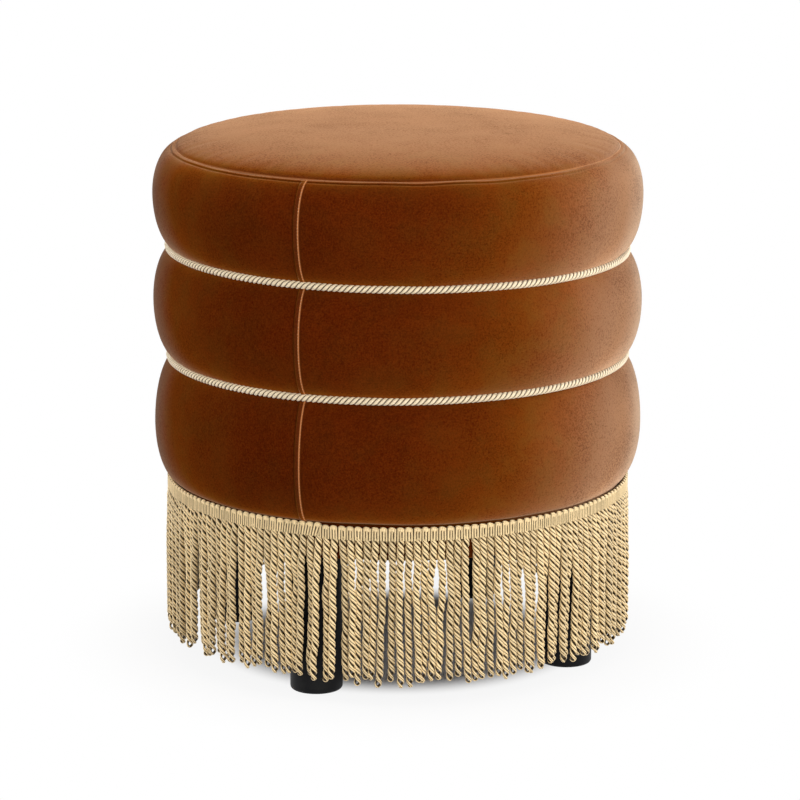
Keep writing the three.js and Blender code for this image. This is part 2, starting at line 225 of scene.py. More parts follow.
class ShaderGraph(Graph):
    """Adds nodes to a material's tree."""

    def place(self) -> bpy.types.NodeSocket:
        """The point on the piece, in the object's own frame."""
        return self.node("ShaderNodeTexCoord").outputs["Object"]

    def vector(self, operation: str, inputs: dict[str | int, Any]) -> bpy.types.NodeSocket:
        """One step of vector arithmetic, with its operands by socket."""
        return self.node("ShaderNodeVectorMath", inputs, operation=operation).outputs[0]

    def stretched(self, scale: Colour, turn: float = 0.0) -> bpy.types.NodeSocket:
        """The point on the piece, stretched for grain or brushing.

        Args:
            scale: how much each direction is multiplied by.
            turn: an angle about the z axis, in radians.

        Returns:
            The stretched point.
        """
        sockets = {"Vector": self.place(), "Rotation": (0.0, 0.0, turn), "Scale": scale}
        return self.node("ShaderNodeMapping", sockets).outputs[0]

    def attribute(self, name: str) -> Number:
        """A number that the mesh carries."""
        return Number(self, self.node("ShaderNodeAttribute", attribute_name=name).outputs["Fac"])

    def normal(self) -> bpy.types.NodeSocket:
        """The direction that the surface faces."""
        return self.node("ShaderNodeNewGeometry").outputs["Normal"]

    def upright_share(self) -> Number:
        """How upright the surface stands: 1 on a wall and 0 on a level face."""
        _, _, rise = self.parts(self.normal())
        return 1.0 - rise * rise

    def facing(self, **sockets: Any) -> Number:
        """How far the surface turns from the eye, from 0 to 1, by its own normal or a given one."""
        made = self.node("ShaderNodeLayerWeight", {"Blend": 0.5, **sockets})
        return Number(self, made.outputs["Facing"])

    def seen(self) -> Number:
        """1 for a ray of the view, straight, mirrored or let through, and 0 for other rays."""
        path = self.node("ShaderNodeLightPath")
        straight, mirrored, let_through = (Number(self, path.outputs[f"Is {kind} Ray"])
                                           for kind in ("Camera", "Glossy", "Transmission"))
        return self.math("MAXIMUM", self.math("MAXIMUM", straight, mirrored), let_through)


@dataclass(frozen=True)
class Finish:
    """What all finishes share. Each one adds its own pattern."""

    name: str
    roughness: float = 0.6
    specular: float = 0.5
    metallic: float = 0.0
    sheen: float = 0.0
    sheen_roughness: float = 0.4
    sheen_tint: Colour = (1.0, 1.0, 1.0)
    coat: float = 0.0
    relief: float = 0.2 * MM

    def material(self) -> bpy.types.Material:
        """Makes the material the first time it is asked for.

        Returns:
            The material.
        """
        found = bpy.data.materials.get(self.name)
        if found:
            return found
        made = bpy.data.materials.new(self.name)
        made.use_nodes = True
        graph = ShaderGraph(made.node_tree)
        shader = made.node_tree.nodes["Principled BSDF"]
        constants = {
            "Roughness": self.roughness,
            "Specular IOR Level": self.specular,
            "Metallic": self.metallic,
            "Sheen Weight": self.sheen,
            "Sheen Roughness": self.sheen_roughness,
            "Sheen Tint": self.sheen_tint,
            "Coat Weight": self.coat,
        }
        for label, value in constants.items():
            graph.feed(shader.inputs[label], value)
        self.lustre(graph, shader)
        colour, height = self.pattern(graph)
        graph.feed(shader.inputs["Base Color"], colour)
        sockets = {"Distance": self.relief, "Height": height, "Normal": self.upright(graph)}
        graph.feed(shader.inputs["Normal"], graph.node("ShaderNodeBump", sockets).outputs[0])
        return made

    def upright(self, graph: ShaderGraph) -> bpy.types.NodeSocket:
        """The direction that the surface, or what stands on it, points in."""
        return graph.normal()

    def lustre(self, graph: ShaderGraph, shader: bpy.types.Node) -> None:
        """Lets the shine vary over the surface, where a finish needs that."""

    def pattern(self, graph: ShaderGraph) -> tuple[bpy.types.NodeSocket, Number]:
        """The colour and the fine height that vary over the surface."""
        raise NotImplementedError(self.name)


@dataclass(frozen=True)
class Velvet(Finish):
    """Short cut pile: sandy speckle, soft patches where it leans, a painted highlight along each seam where
    the pile parts, and painted shade in the dips beside the seams and in the grooves.

    Its scales are cells in a metre.
    """

    deep: Colour = (0.034, 0.0003, 0.0001)
    pale: Colour = (0.084, 0.009, 0.001)
    # painted highlight along the seams, where the parted pile catches the light
    seam_highlight: Colour = (0.640, 0.250, 0.090)
    # pressed: painted shade, laid in the dips beside the seams and near the grooves
    pressed: Colour = (0.006, 0.0004, 0.0001)
    rim_sheen: Colour = (0.75, 0.41, 0.215)
    edge_sheen: Colour = (1.0, 0.72, 0.50)
    olive_sheen: Colour = (0.92, 0.35, 0.040)
    lean: float = 0.42
    lustre_scale: float = 19.0
    glint_scale: float = 620.0
    olive_scale: float = 38.0
    patch_scale: float = 24.0
    speckle_scale: float = 650.0
    brush_scale: Colour = (30.0, 260.0, 260.0)
    seam_highlight_share: float = 0.85

    def upright(self, graph: ShaderGraph) -> bpy.types.NodeSocket:
        """The direction of the pile, which was brushed round the seat but not on its top.

        Args:
            graph: the material's graph.

        Returns:
            The direction.
        """
        x, y, _ = graph.parts(graph.place())
        round_seat = graph.vector("NORMALIZE", {0: graph.point(y * -1.0, x, 0.0)})
        leant = graph.vector("SCALE", {0: round_seat, "Scale": graph.upright_share() * self.lean})
        return graph.vector("NORMALIZE", {0: graph.vector("ADD", {0: graph.normal(), 1: leant})})

    def lustre(self, graph: ShaderGraph, shader: bpy.types.Node) -> None:
        """The pile's sheen: uneven where the pile is brushed, and paler towards the rim.

        Args:
            graph: the material's graph.
            shader: the shader to feed.
        """
        place = graph.place()
        brushed = graph.noise(place, self.lustre_scale, 3.0, 0.6)
        glint = graph.noise(place, self.glint_scale, 2.0, 0.7)
        weight = (brushed - 0.5) * 0.8 + (glint - 0.5) * 2.1 + 0.96
        graph.feed(shader.inputs["Sheen Weight"], graph.math("MAXIMUM", weight, 0.0, clamp=True))
        turned = graph.rise(graph.facing(Normal=self.upright(graph)), 0.35, 0.9)
        olive = graph.rise(graph.noise(place, self.olive_scale, 2.0, 0.6), 0.40, 0.68)
        tint = graph.mix(turned, graph.mix(olive, self.sheen_tint, self.olive_sheen), self.rim_sheen)
        edge = graph.rise(graph.facing(), 0.60, 0.95) * graph.upright_share()
        graph.feed(shader.inputs["Sheen Tint"], graph.mix(edge, tint, self.edge_sheen))

    def pattern(self, graph: ShaderGraph) -> tuple[bpy.types.NodeSocket, Number]:
        """Speckle, patches and brushing, with a painted highlight along the seams and painted shade in the
        seams' dips and the grooves.

        Args:
            graph: the material's graph.

        Returns:
            The colour, and the height of the pile.
        """
        place = graph.place()
        patches = graph.noise(place, self.patch_scale, 3.0)
        speckle = graph.noise(place, self.speckle_scale, 2.0, 0.7)
        brushed = graph.noise(graph.stretched(self.brush_scale, -VIEW_RIGHT), 1.0, 2.0)
        share = (patches - 0.5) * 0.9 + (speckle - 0.5) * 3.0 + (brushed - 0.5) * 0.6 + 0.5
        cloth = graph.mix(graph.math("MAXIMUM", share, 0.0, clamp=True), self.deep, self.pale)
        # painted shade from the seam_shade mask: the seams' dips and the grooves
        shaded = graph.mix(graph.attribute("seam_shade"), cloth, self.pressed)
        # painted highlight on the seam crests, read from the seam_light mask
        parting = graph.attribute("seam_light") * self.seam_highlight_share
        return graph.mix(parting, shaded, self.seam_highlight), speckle + patches * 0.6


@dataclass(frozen=True)
class TwistedYarn(Finish):
    """Silky yarn: light crests with painted shade in the hollows between them, and some strands lighter than
    others.

    Its scales are cells in a metre.
    """

    # dark: painted shade in the hollows between yarns and plies
    dark: Colour = (0.038, 0.020, 0.003)
    light: Colour = (0.990, 0.757, 0.412)
    fibre_scale: float = 1400.0
    patch_scale: float = 45.0

    def pattern(self, graph: ShaderGraph) -> tuple[bpy.types.NodeSocket, Number]:
        """Light yarns with painted shade in the lines between them, and fine fibres along them.

        Args:
            graph: the material's graph.

        Returns:
            The colour, and the height of the yarn lines.
        """
        # painted shade where crest is low, in the hollows between yarns and plies
        line = graph.math("POWER", graph.rise(graph.attribute("crest"), 0.0, 0.95), 1.6)
        fibre = graph.noise(graph.place(), self.fibre_scale, 2.0)
        patch = graph.noise(graph.place(), self.patch_scale, 2.0)
        own = graph.attribute("tone") * 0.30 + fibre * 0.50 + patch * 0.30 + 0.35
        share = graph.math("MAXIMUM", line * own, 0.0, clamp=True)
        return graph.mix(share, self.dark, self.light), line + fibre * 0.5


@dataclass(frozen=True)
class Lacquer(Finish):
    """Black lacquer over turned wood, with a trace of grain and dust."""

    colour: Colour = (0.004, 0.004, 0.005)
    dusty: Colour = (0.010, 0.010, 0.010)
    grain_scale: Colour = (900.0, 900.0, 30.0)
    dust_scale: float = 60.0

    def pattern(self, graph: ShaderGraph) -> tuple[bpy.types.NodeSocket, Number]:
        """Faint upright grain under the lacquer."""
        grain = graph.noise(graph.stretched(self.grain_scale), 1.0, 3.0)
        dust = graph.noise(graph.place(), self.dust_scale, 4.0)
        return graph.mix(graph.rise(dust, 0.45, 0.75), self.colour, self.dusty), grain


@dataclass(frozen=True)
class BondedCloth(Finish):
    """Thin nonwoven cloth with rows of small bonded dots."""

    colour: Colour = (0.012, 0.012, 0.013)
    fibre: Colour = (0.050, 0.050, 0.052)
    dot_pitch: float = 2.2 * MM
    fibre_scale: float = 700.0

    def pattern(self, graph: ShaderGraph) -> tuple[bpy.types.NodeSocket, Number]:
        """Fibres, and dots in a square grid that is turned by an eighth."""
        x, y, _ = graph.parts(graph.stretched((1.0, 1.0, 1.0), TURN / 8))
        wave = TURN / self.dot_pitch
        dots = graph.math("SINE", x * wave) * graph.math("SINE", y * wave)
        fibres = graph.noise(graph.place(), self.fibre_scale, 4.0, 0.8)
        pressed = graph.rise(dots, 0.3, 0.8)
        return graph.mix(fibres * 0.7, self.colour, self.fibre), fibres - pressed * 0.8


@dataclass(frozen=True)
class Foam(Finish):
    """Open-cell foam: pale, with small pores."""

    colour: Colour = (0.80, 0.70, 0.45)
    pore: Colour = (0.52, 0.42, 0.24)
    pore_scale: float = 900.0

    def pattern(self, graph: ShaderGraph) -> tuple[bpy.types.NodeSocket, Number]:
        """Pores of about a millimetre."""
        sockets = {"Vector": graph.place(), "Scale": self.pore_scale}
        cells = Number(graph, graph.node("ShaderNodeTexVoronoi", sockets).outputs[0])
        return graph.mix(graph.rise(cells, 0.15, 0.6), self.pore, self.colour), cells


@dataclass(frozen=True)
class Wadding(Finish):
    """White polyester wadding: tangled fibres in soft tufts."""

    colour: Colour = (0.86, 0.86, 0.84)
    shaded: Colour = (0.66, 0.66, 0.65)
    tuft_scale: float = 90.0
    fibre_scale: Colour = (900.0, 140.0, 900.0)

    def pattern(self, graph: ShaderGraph) -> tuple[bpy.types.NodeSocket, Number]:
        """Tufts with fine fibres over them."""
        tufts = graph.noise(graph.place(), self.tuft_scale, 5.0, 0.7)
        fibres = graph.noise(graph.stretched(self.fibre_scale), 1.0, 2.0)
        return graph.mix(tufts, self.shaded, self.colour), tufts + fibres * 0.5


@dataclass(frozen=True)
class Plywood(Finish):
    """Plywood: long grain on its faces and thin plies, light and dark in turn, at its edge."""

    pale: Colour = (0.66, 0.47, 0.26)
    dark: Colour = (0.42, 0.26, 0.12)
    ply: float = 1.5 * MM
    grain_scale: Colour = (12.0, 240.0, 240.0)

    def pattern(self, graph: ShaderGraph) -> tuple[bpy.types.NodeSocket, Number]:
        """Grain along x, with plies along z."""
        _, _, z = graph.parts(graph.place())
        grain = graph.noise(graph.stretched(self.grain_scale), 1.0, 5.0, 0.6)
        plies = graph.math("SINE", z * (TURN / (2 * self.ply))) * 0.5 + 0.5
        return graph.mix(grain * 0.7 + plies * 0.3, self.pale, self.dark), grain


@dataclass(frozen=True)
class Hardboard(Finish):
    """Pressed brown fibreboard."""

    pale: Colour = (0.30, 0.17, 0.08)
    dark: Colour = (0.14, 0.07, 0.03)
    fibre_scale: float = 420.0

    def pattern(self, graph: ShaderGraph) -> tuple[bpy.types.NodeSocket, Number]:
        """Short fibres in every direction."""
        fibres = graph.noise(graph.place(), self.fibre_scale, 5.0, 0.75)
        return graph.mix(fibres, self.dark, self.pale), fibres


@dataclass(frozen=True)
class Softwood(Finish):
    """Planed softwood with its grain upright."""

    pale: Colour = (0.72, 0.52, 0.28)
    dark: Colour = (0.50, 0.29, 0.12)
    ring_scale: Colour = (160.0, 160.0, 6.0)

    def pattern(self, graph: ShaderGraph) -> tuple[bpy.types.NodeSocket, Number]:
        """Growth rings, drawn out along z."""
        rings = graph.noise(graph.stretched(self.ring_scale), 1.0, 4.0, 0.6)
        lines = graph.math("SINE", rings * 40.0) * 0.5 + 0.5
        return graph.mix(lines * 0.6 + rings * 0.3, self.pale, self.dark), lines


@dataclass(frozen=True)
class Zinc(Finish):
    """Zinc plate on steel, a little cloudy."""

    bright: Colour = (0.62, 0.63, 0.64)
    dull: Colour = (0.40, 0.41, 0.43)
    cloud_scale: float = 300.0
    scratch_scale: Colour = (2600.0, 2600.0, 200.0)

    def pattern(self, graph: ShaderGraph) -> tuple[bpy.types.NodeSocket, Number]:
        """Clouds and fine scratches."""
        clouds = graph.noise(graph.place(), self.cloud_scale, 4.0)
        scratches = graph.noise(graph.stretched(self.scratch_scale), 1.0, 2.0)
        return graph.mix(clouds, self.dull, self.bright), scratches


@dataclass(frozen=True)
class Thread(Finish):
    """Sewing thread, lighter than the velvet round it."""

    colour: Colour = (0.66, 0.33, 0.15)
    shaded: Colour = (0.42, 0.17, 0.06)
    twist_scale: float = 2500.0

    def pattern(self, graph: ShaderGraph) -> tuple[bpy.types.NodeSocket, Number]:
        """Fine twist."""
        twist = graph.noise(graph.place(), self.twist_scale, 2.0)
        return graph.mix(twist, self.shaded, self.colour), twist


VELVET = Velvet("rust_velvet", roughness=0.9, specular=0.0, sheen=1.0, sheen_roughness=0.55,
                sheen_tint=(1.0, 0.300, 0.030), relief=0.12 * MM)
# the cords' dark colour is painted shade between their plies
CREAM_YARN = TwistedYarn("cream_cord_yarn", roughness=0.5, specular=0.4, sheen=0.60, dark=(0.12, 0.065, 0.02),
                         light=(1.0, 0.84, 0.57), relief=0.18 * MM)
BEIGE_YARN = TwistedYarn("beige_bullion_yarn", roughness=0.42, specular=0.35)
BLACK_LACQUER = Lacquer("black_lacquer", roughness=0.5, specular=0.12, relief=0.02 * MM)
BLACK_CLOTH = BondedCloth("black_bonded_cloth", roughness=0.95, specular=0.2, relief=0.15 * MM)
CREAM_FOAM = Foam("cream_foam", roughness=0.95, specular=0.2, relief=0.4 * MM)
WHITE_WADDING = Wadding("white_wadding", roughness=1.0, specular=0.1, relief=0.8 * MM)
BIRCH_PLY = Plywood("birch_plywood", roughness=0.75, relief=0.1 * MM)
BROWN_BOARD = Hardboard("brown_hardboard", roughness=0.85, relief=0.15 * MM)
PLANED_PINE = Softwood("planed_pine", roughness=0.7, relief=0.08 * MM)
ZINC_PLATE = Zinc("zinc_plate", roughness=0.35, metallic=1.0, relief=0.01 * MM)
RUST_THREAD = Thread("rust_thread", roughness=0.6, relief=0.05 * MM)


def smoothstep(low: float, high: float, value: np.ndarray) -> np.ndarray:
    """A smooth step, 0 up to low and 1 from high."""
    share = np.clip((value - low) / (high - low), 0.0, 1.0)
    return share * share * (3 - 2 * share)


def bell(value: np.ndarray, width: float) -> np.ndarray:
    """A smooth bump of height 1 at 0."""
    return np.exp(-((value / width) ** 2))


def arc_lengths(radii: np.ndarray, heights: np.ndarray) -> np.ndarray:
    """The length along an outline from its first point to each one."""
    return np.append(0.0, np.cumsum(np.hypot(np.diff(radii), np.diff(heights))))


def new_object(name: str, points: np.ndarray, faces: list[tuple[int, ...]]) -> bpy.types.Object:
    """Makes a smooth mesh object at the origin.

    Args:
        name: its name.
        points: its vertices, in metres.
        faces: its faces, with their fronts outwards.

    Returns:
        The object.
    """
    mesh = bpy.data.meshes.new(name)
    mesh.from_pydata([tuple(p) for p in points], [], faces)
    mesh.shade_smooth()
    made = bpy.data.objects.new(name, mesh)
    bpy.context.scene.collection.objects.link(made)
    return made


def ring_faces(rows: int, columns: int, start: int = 0, inward: bool = False) -> list[tuple[int, ...]]:
    """Faces between the rows of a grid that is closed round the z axis.

    Args:
        rows: how many rows there are, going along the outline.
        columns: how many points a row has.
        start: the number of the first vertex.
        inward: whether the fronts look to the axis.

    Returns:
        The faces.
    """
    faces = []
    for i in range(rows - 1):
        for j in range(columns):
            a = start + i * columns + j
            b = start + i * columns + (j + 1) % columns
            face = (a, b, b + columns, a + columns)
            faces.append(face[::-1] if inward else face)
    return faces


def revolve(name: str, outline: list[tuple[float, float]], sides: int,
            centre: tuple[float, float] = (0.0, 0.0)) -> bpy.types.Object:
    """Turns an outline about an upright axis. An outline that ends on the axis is closed there.

    Args:
        name: the object's name.
        outline: radius and height, with the body on the left going along it.
        sides: how many steps go round.
        centre: where the axis stands.

    Returns:
        The object.
    """
    ring = [p for p in outline if p[0] > 0]
    closed = len(ring) == len(outline)
    angles = np.arange(sides) * TURN / sides
    rows = ring + ring[:1] if closed else ring
    points = [(centre[0] + r * math.cos(a), centre[1] + r * math.sin(a), z) for r, z in ring for a in angles]
    faces = ring_faces(len(rows), sides)
    if closed:
        count = len(ring) * sides
        faces = [tuple(v % count for v in face) for face in faces]
    else:
        for end, (_, z) in ((0, outline[0]), (len(ring) - 1, outline[-1])):
            pole = len(points)
            points.append((*centre, z))
            for j in range(sides):
                a, b = end * sides + j, end * sides + (j + 1) % sides
                faces.append((a, pole, b) if end == 0 else (a, b, pole))
    made = new_object(name, np.array(points), faces)
    made.data.set_sharp_from_angle(angle=SHARP_ANGLE)
    return made


def store(piece: bpy.types.Object, name: str, values: np.ndarray) -> None:
    """Keeps one number for each vertex on a mesh, and 0 for those past the last value."""
    padded = np.zeros(len(piece.data.vertices), np.float32)
    padded[: values.size] = values.ravel()
    piece.data.attributes.new(name, "FLOAT", "POINT").data.foreach_set("value", padded)


def hand_over(piece: bpy.types.Object, slot: str, finish: Finish | None, *nodes: str) -> bpy.types.Object:
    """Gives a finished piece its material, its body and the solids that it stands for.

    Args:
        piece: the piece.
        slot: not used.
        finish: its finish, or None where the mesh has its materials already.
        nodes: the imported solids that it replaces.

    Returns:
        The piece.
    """
    if finish is not None:
        piece.data.materials.clear()
        piece.data.materials.append(finish.material())
    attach(piece, BODY)
    if nodes:
        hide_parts(*nodes)
    log.info("%s: %d faces", piece.name, len(piece.data.polygons))
    return piece


@dataclass(frozen=True)
class PlyForm:
    """The outline of one ply, in parts of its radius.

    Each point has its distance out from the rope's middle, its distance to the side, and how near it is to
    the crest of a yarn, from 0 to 1; where this is low, the yarn's colour is painted shade.
    """

    name: str
    outline: Outline

    def profile(self) -> bpy.types.Object:
        """Makes the outline as a ring of edges, the first time it is asked for.

        Returns:
            The object that holds it.
        """
        found = bpy.data.objects.get(self.name)
        if found:
            return found
        count = len(self.outline)
        mesh = bpy.data.meshes.new(self.name)
        points = [(x, y, 0.0) for x, y, _ in self.outline]
        mesh.from_pydata(points, [(i, (i + 1) % count) for i in range(count)], [])
        made = bpy.data.objects.new(self.name, mesh)
        store(made, "crest", np.array([crest for _, _, crest in self.outline]))
        return made


def half(points: Outline) -> Outline:
    """A whole outline from its upper half, whose first and last points lie on the middle line."""
    return points + tuple((x, -y, crest) for x, y, crest in points[-2:0:-1])


PAIRED_PLY = PlyForm("paired_ply", half((
    (0.31, 0.0, 0.0), (0.43, 0.17, 1.0), (0.41, 0.37, 1.0), (0.28, 0.53, 0.90),
    (0.05, 0.59, 0.55), (-0.21, 0.51, 0.05), (-0.40, 0.30, 0.0), (-0.46, 0.0, 0.0),
)))
CORD_PLY = PlyForm("cord_ply", half((
    (1.0, 0.0, 0.95), (0.87, 0.50, 1.0), (0.56, 0.83, 0.70),
    (0.17, 0.98, 0.10), (-0.50, 0.87, 0.0), (-1.0, 0.0, 0.0),
)))


class Trim:
    """A Geometry Nodes tree with named sizes, whose result becomes a plain mesh."""

    def __init__(self, name: str, sizes: dict[str, float | int]) -> None:
        """Makes the tree with an input for each size.

        Args:
            name: the tree's name.
            sizes: the inputs' names and usual values; a whole number makes a whole-number input.
        """
        self.sizes = sizes
        self.tree = bpy.data.node_groups.new(name, "GeometryNodeTree")
        self.graph = Graph(self.tree)
        face = self.tree.interface
        face.new_socket(name="Trim", in_out="OUTPUT", socket_type="NodeSocketGeometry")
        face.new_socket(name="Base", in_out="INPUT", socket_type="NodeSocketGeometry")
        for label, value in sizes.items():
            kind = "NodeSocketInt" if isinstance(value, int) else "NodeSocketFloat"
            face.new_socket(name=label, in_out="INPUT", socket_type=kind)
        self.given = self.tree.nodes.new("NodeGroupInput")
        self.base = self.given.outputs["Base"]

    def size(self, label: str) -> Number:
        """A named size, as a number of the tree."""
        return Number(self.graph, self.given.outputs[label])

    def index(self) -> Number:
        """The number of the point or piece that is worked on."""
        return Number(self.graph, self.graph.node("GeometryNodeInputIndex").outputs[0])

    def chance(self, number: Operand, salt: float) -> Number:
        """A fixed random number from 0 to 1.

        Args:
            number: what it belongs to, such as a strand's number.
            salt: a constant that keeps one use apart from another.

        Returns:
            The random number.
        """
        sockets = {"W": number * 1.0 + self.size("Seed") * 17.0 + salt}
        made = self.graph.node("ShaderNodeTexWhiteNoise", sockets, noise_dimensions="1D")
        return Number(self.graph, made.outputs["Value"])

    def keep(self, geometry: Any, name: str, value: Any, kind: str = "FLOAT") -> bpy.types.NodeSocket:
        """Stores a named attribute on a geometry's points.

        Args:
            geometry: the geometry.
            name: the attribute's name.
            value: its value.
            kind: FLOAT or FLOAT_VECTOR.

        Returns:
            The geometry that carries it.
        """
        made = self.graph.node("GeometryNodeStoreNamedAttribute", {"Geometry": geometry, "Name": name},
                               data_type=kind, domain="POINT")
        self.graph.feed([s for s in made.inputs if s.name == "Value" and s.enabled][0], value)
        return made.outputs[0]

    def kept(self, name: str, kind: str = "FLOAT") -> bpy.types.NodeSocket:
        """An attribute that was stored before."""
        return self.graph.node("GeometryNodeInputNamedAttribute", {"Name": name}, data_type=kind).outputs[0]

    def points(self, count: Operand, place: Any) -> bpy.types.NodeSocket:
        """A cloud of points, each put in its place.

        Args:
            count: how many.
            place: the vector field that gives each one's place.

        Returns:
            The points.
        """
        cloud = self.graph.node("GeometryNodePoints", {"Count": count}).outputs[0]
        return self.graph.node("GeometryNodeSetPosition", {"Geometry": cloud, "Position": place}).outputs[0]

    def plies(self, points: Any, group: Number, facing: Any, radius: Operand, closed: bool, tone: Operand,
              form: PlyForm, girth: Operand = 1.0) -> bpy.types.NodeSocket:
        """Plies along lines of points, with what the yarn pattern needs.

        Args:
            points: the points, in order.
            group: which line each point is on.
            facing: the direction from the rope's middle to the ply, at each point.
            radius: the ply's radius, or the rope's where the ply is pressed.
            closed: whether each line is a ring.
            tone: how light each ply is, from 0 to 1.
            form: the outline of a ply.
            girth: how much of its size the outline has, at each point.

        Returns:
            The mesh.
        """
        graph = self.graph
        points = self.keep(points, "tone", tone)
        points = self.keep(points, "girth", girth)
        points = self.keep(points, "facing", facing, "FLOAT_VECTOR")
        sockets = {"Points": points, "Curve Group ID": group}
        lines = graph.node("GeometryNodePointsToCurves", sockets).outputs[0]
        if closed:
            lines = graph.node("GeometryNodeSetSplineCyclic", {"Geometry": lines, "Cyclic": True}).outputs[0]
        sockets = {"Curve": lines, "Normal": self.kept("facing", "FLOAT_VECTOR")}
        lines = graph.node("GeometryNodeSetCurveNormal", sockets, mode="FREE").outputs[0]
        outline = graph.node("GeometryNodeObjectInfo", {"Object": form.profile()}).outputs["Geometry"]
        outline = graph.node("GeometryNodeMeshToCurve", {"Mesh": outline}).outputs[0]
        sockets = {"Geometry": outline, "Scale": graph.point(radius, radius, 1.0)}
        outline = graph.node("GeometryNodeTransform", sockets).outputs[0]
        sockets = {"Curve": lines, "Profile Curve": outline, "Scale": self.kept("girth"), "Fill Caps": True}
        mesh = graph.node("GeometryNodeCurveToMesh", sockets).outputs[0]
        return graph.node("GeometryNodeSetShadeSmooth", {0: mesh}).outputs[0]

    def end(self, parts: list[Any], finish: Finish) -> None:
        """Joins what was made, turns instances into mesh and sets the material."""
        graph = self.graph
        joined = graph.node("GeometryNodeJoinGeometry")
        for part in reversed(parts):
            self.tree.links.new(part, joined.inputs[0])
        real = graph.node("GeometryNodeRealizeInstances", {0: joined.outputs[0]}).outputs[0]
        dressed = graph.node("GeometryNodeSetMaterial", {"Geometry": real, "Material": finish.material()})
        out = self.tree.nodes.new("NodeGroupOutput")
        self.tree.links.new(dressed.outputs[0], out.inputs[0])

    def bake(self, name: str, base: bpy.types.Mesh | None = None, **sizes: float | int) -> bpy.types.Object:
        """Runs the tree on an object, and keeps the result as a plain mesh.

        Args:
            name: the new object's name.
            base: the mesh that the tree starts from, if it uses one.
            sizes: values for the named inputs, with _ for a space.

        Returns:
            The object.
        """
        holder = bpy.data.objects.new(f"{name}_holder", base or bpy.data.meshes.new(f"{name}_holder"))
        bpy.context.scene.collection.objects.link(holder)
        modifier = holder.modifiers.new("trim", "NODES")
        modifier.node_group = self.tree
        values = {**self.sizes, **{key.replace("_", " "): value for key, value in sizes.items()}}
        for item in self.tree.interface.items_tree:
            if item.in_out == "INPUT" and item.name in values:
                modifier[item.identifier] = values[item.name]
        graph = bpy.context.evaluated_depsgraph_get()
        mesh = bpy.data.meshes.new_from_object(holder.evaluated_get(graph), depsgraph=graph)
        holder.modifiers.remove(modifier)
        bpy.data.objects.remove(holder)
        mesh.name = name
        made = bpy.data.objects.new(name, mesh)
        bpy.context.scene.collection.objects.link(made)
        return made


@dataclass(frozen=True)
class Roll:
    """The outline of one roll: a quarter ellipse up to its belly, and another on to the ring above it."""

    low: float
    high: float
    low_radius: float
    high_radius: float
    belly_radius: float
    belly_share: float

    def at(self, share: np.ndarray) -> tuple[np.ndarray, np.ndarray]:
        """Points of the outline.

        Args:
            share: how far along it they lie, from 0 at the lower ring to 1 at the upper one.

        Returns:
            Their radii and heights.
        """
        angle = math.pi * (share - 0.5)
        belly = self.low + (self.high - self.low) * self.belly_share
        end = np.where(angle < 0, self.low_radius, self.high_radius)
        reach = np.where(angle < 0, belly - self.low, self.high - belly)
        return end + (self.belly_radius - end) * np.cos(angle), belly + reach * np.sin(angle)


@dataclass(frozen=True)
class SeamRidge:
    """The ridge that a seam allowance makes on one side of its seam, and the dips beside it."""

    width: float = 4.2 * MM
    height: float = 0.70 * MM
    dip: float = 0.22 * MM
    crest: float = 0.45 * MM
    blend: float = 1.0 * MM
    fall: float = 0.5 * MM
    dip_place: float = 0.9 * MM
    dip_width: float = 0.8 * MM
    plain_share: float = 0.8
    plain_dip_place: float = 1.7 * MM
    plain_dip_width: float = 0.9 * MM
    shade_place: float = 0.6 * MM
    plain_shade_place: float = 1.5 * MM
    # strength of the faint painted highlight on the ridge's plateau
    ridge_light: float = 0.03
    # strengths of the painted shade in the dips on either side
    shade: float = 0.6
    plain_shade: float = 0.25

    def height_at(self, distance: np.ndarray) -> np.ndarray:
        """How far the surface stands off its plain form.

        Args:
            distance: from the seam, above 0 on the side of the allowance.

        Returns:
            The height at each distance.
        """
        fall = smoothstep(self.width - self.blend, self.width + self.fall, distance)
        dip = self.dip * bell(distance - self.width - self.dip_place, self.dip_width)
        allowance = self.height * (1 - fall) - dip
        plain = self.height * self.plain_share * np.exp(np.minimum(distance, 0) / self.crest)
        plain = plain - self.dip / 2 * bell(distance + self.plain_dip_place, self.plain_dip_width)
        return np.where(distance >= 0, allowance, plain)

    def light_at(self, distance: np.ndarray) -> np.ndarray:
        """How strong the painted highlight is at each distance, from 0 to 1: bright on the crest where the
        pile parts, faint on the ridge.
        """
        on_ridge = smoothstep(0.0, self.blend, distance)
        on_ridge = on_ridge * (1 - smoothstep(self.width - self.blend, self.width, distance))
        return np.maximum(bell(distance, self.crest), self.ridge_light * on_ridge)

    def shade_at(self, distance: np.ndarray) -> np.ndarray:
        """How much painted shade lies in the dips beside the ridge, from 0 to 1."""
        allowance = self.shade * bell(distance - self.width - self.shade_place, self.dip_width)
        return allowance + self.plain_shade * bell(distance + self.plain_shade_place, self.dip_width)


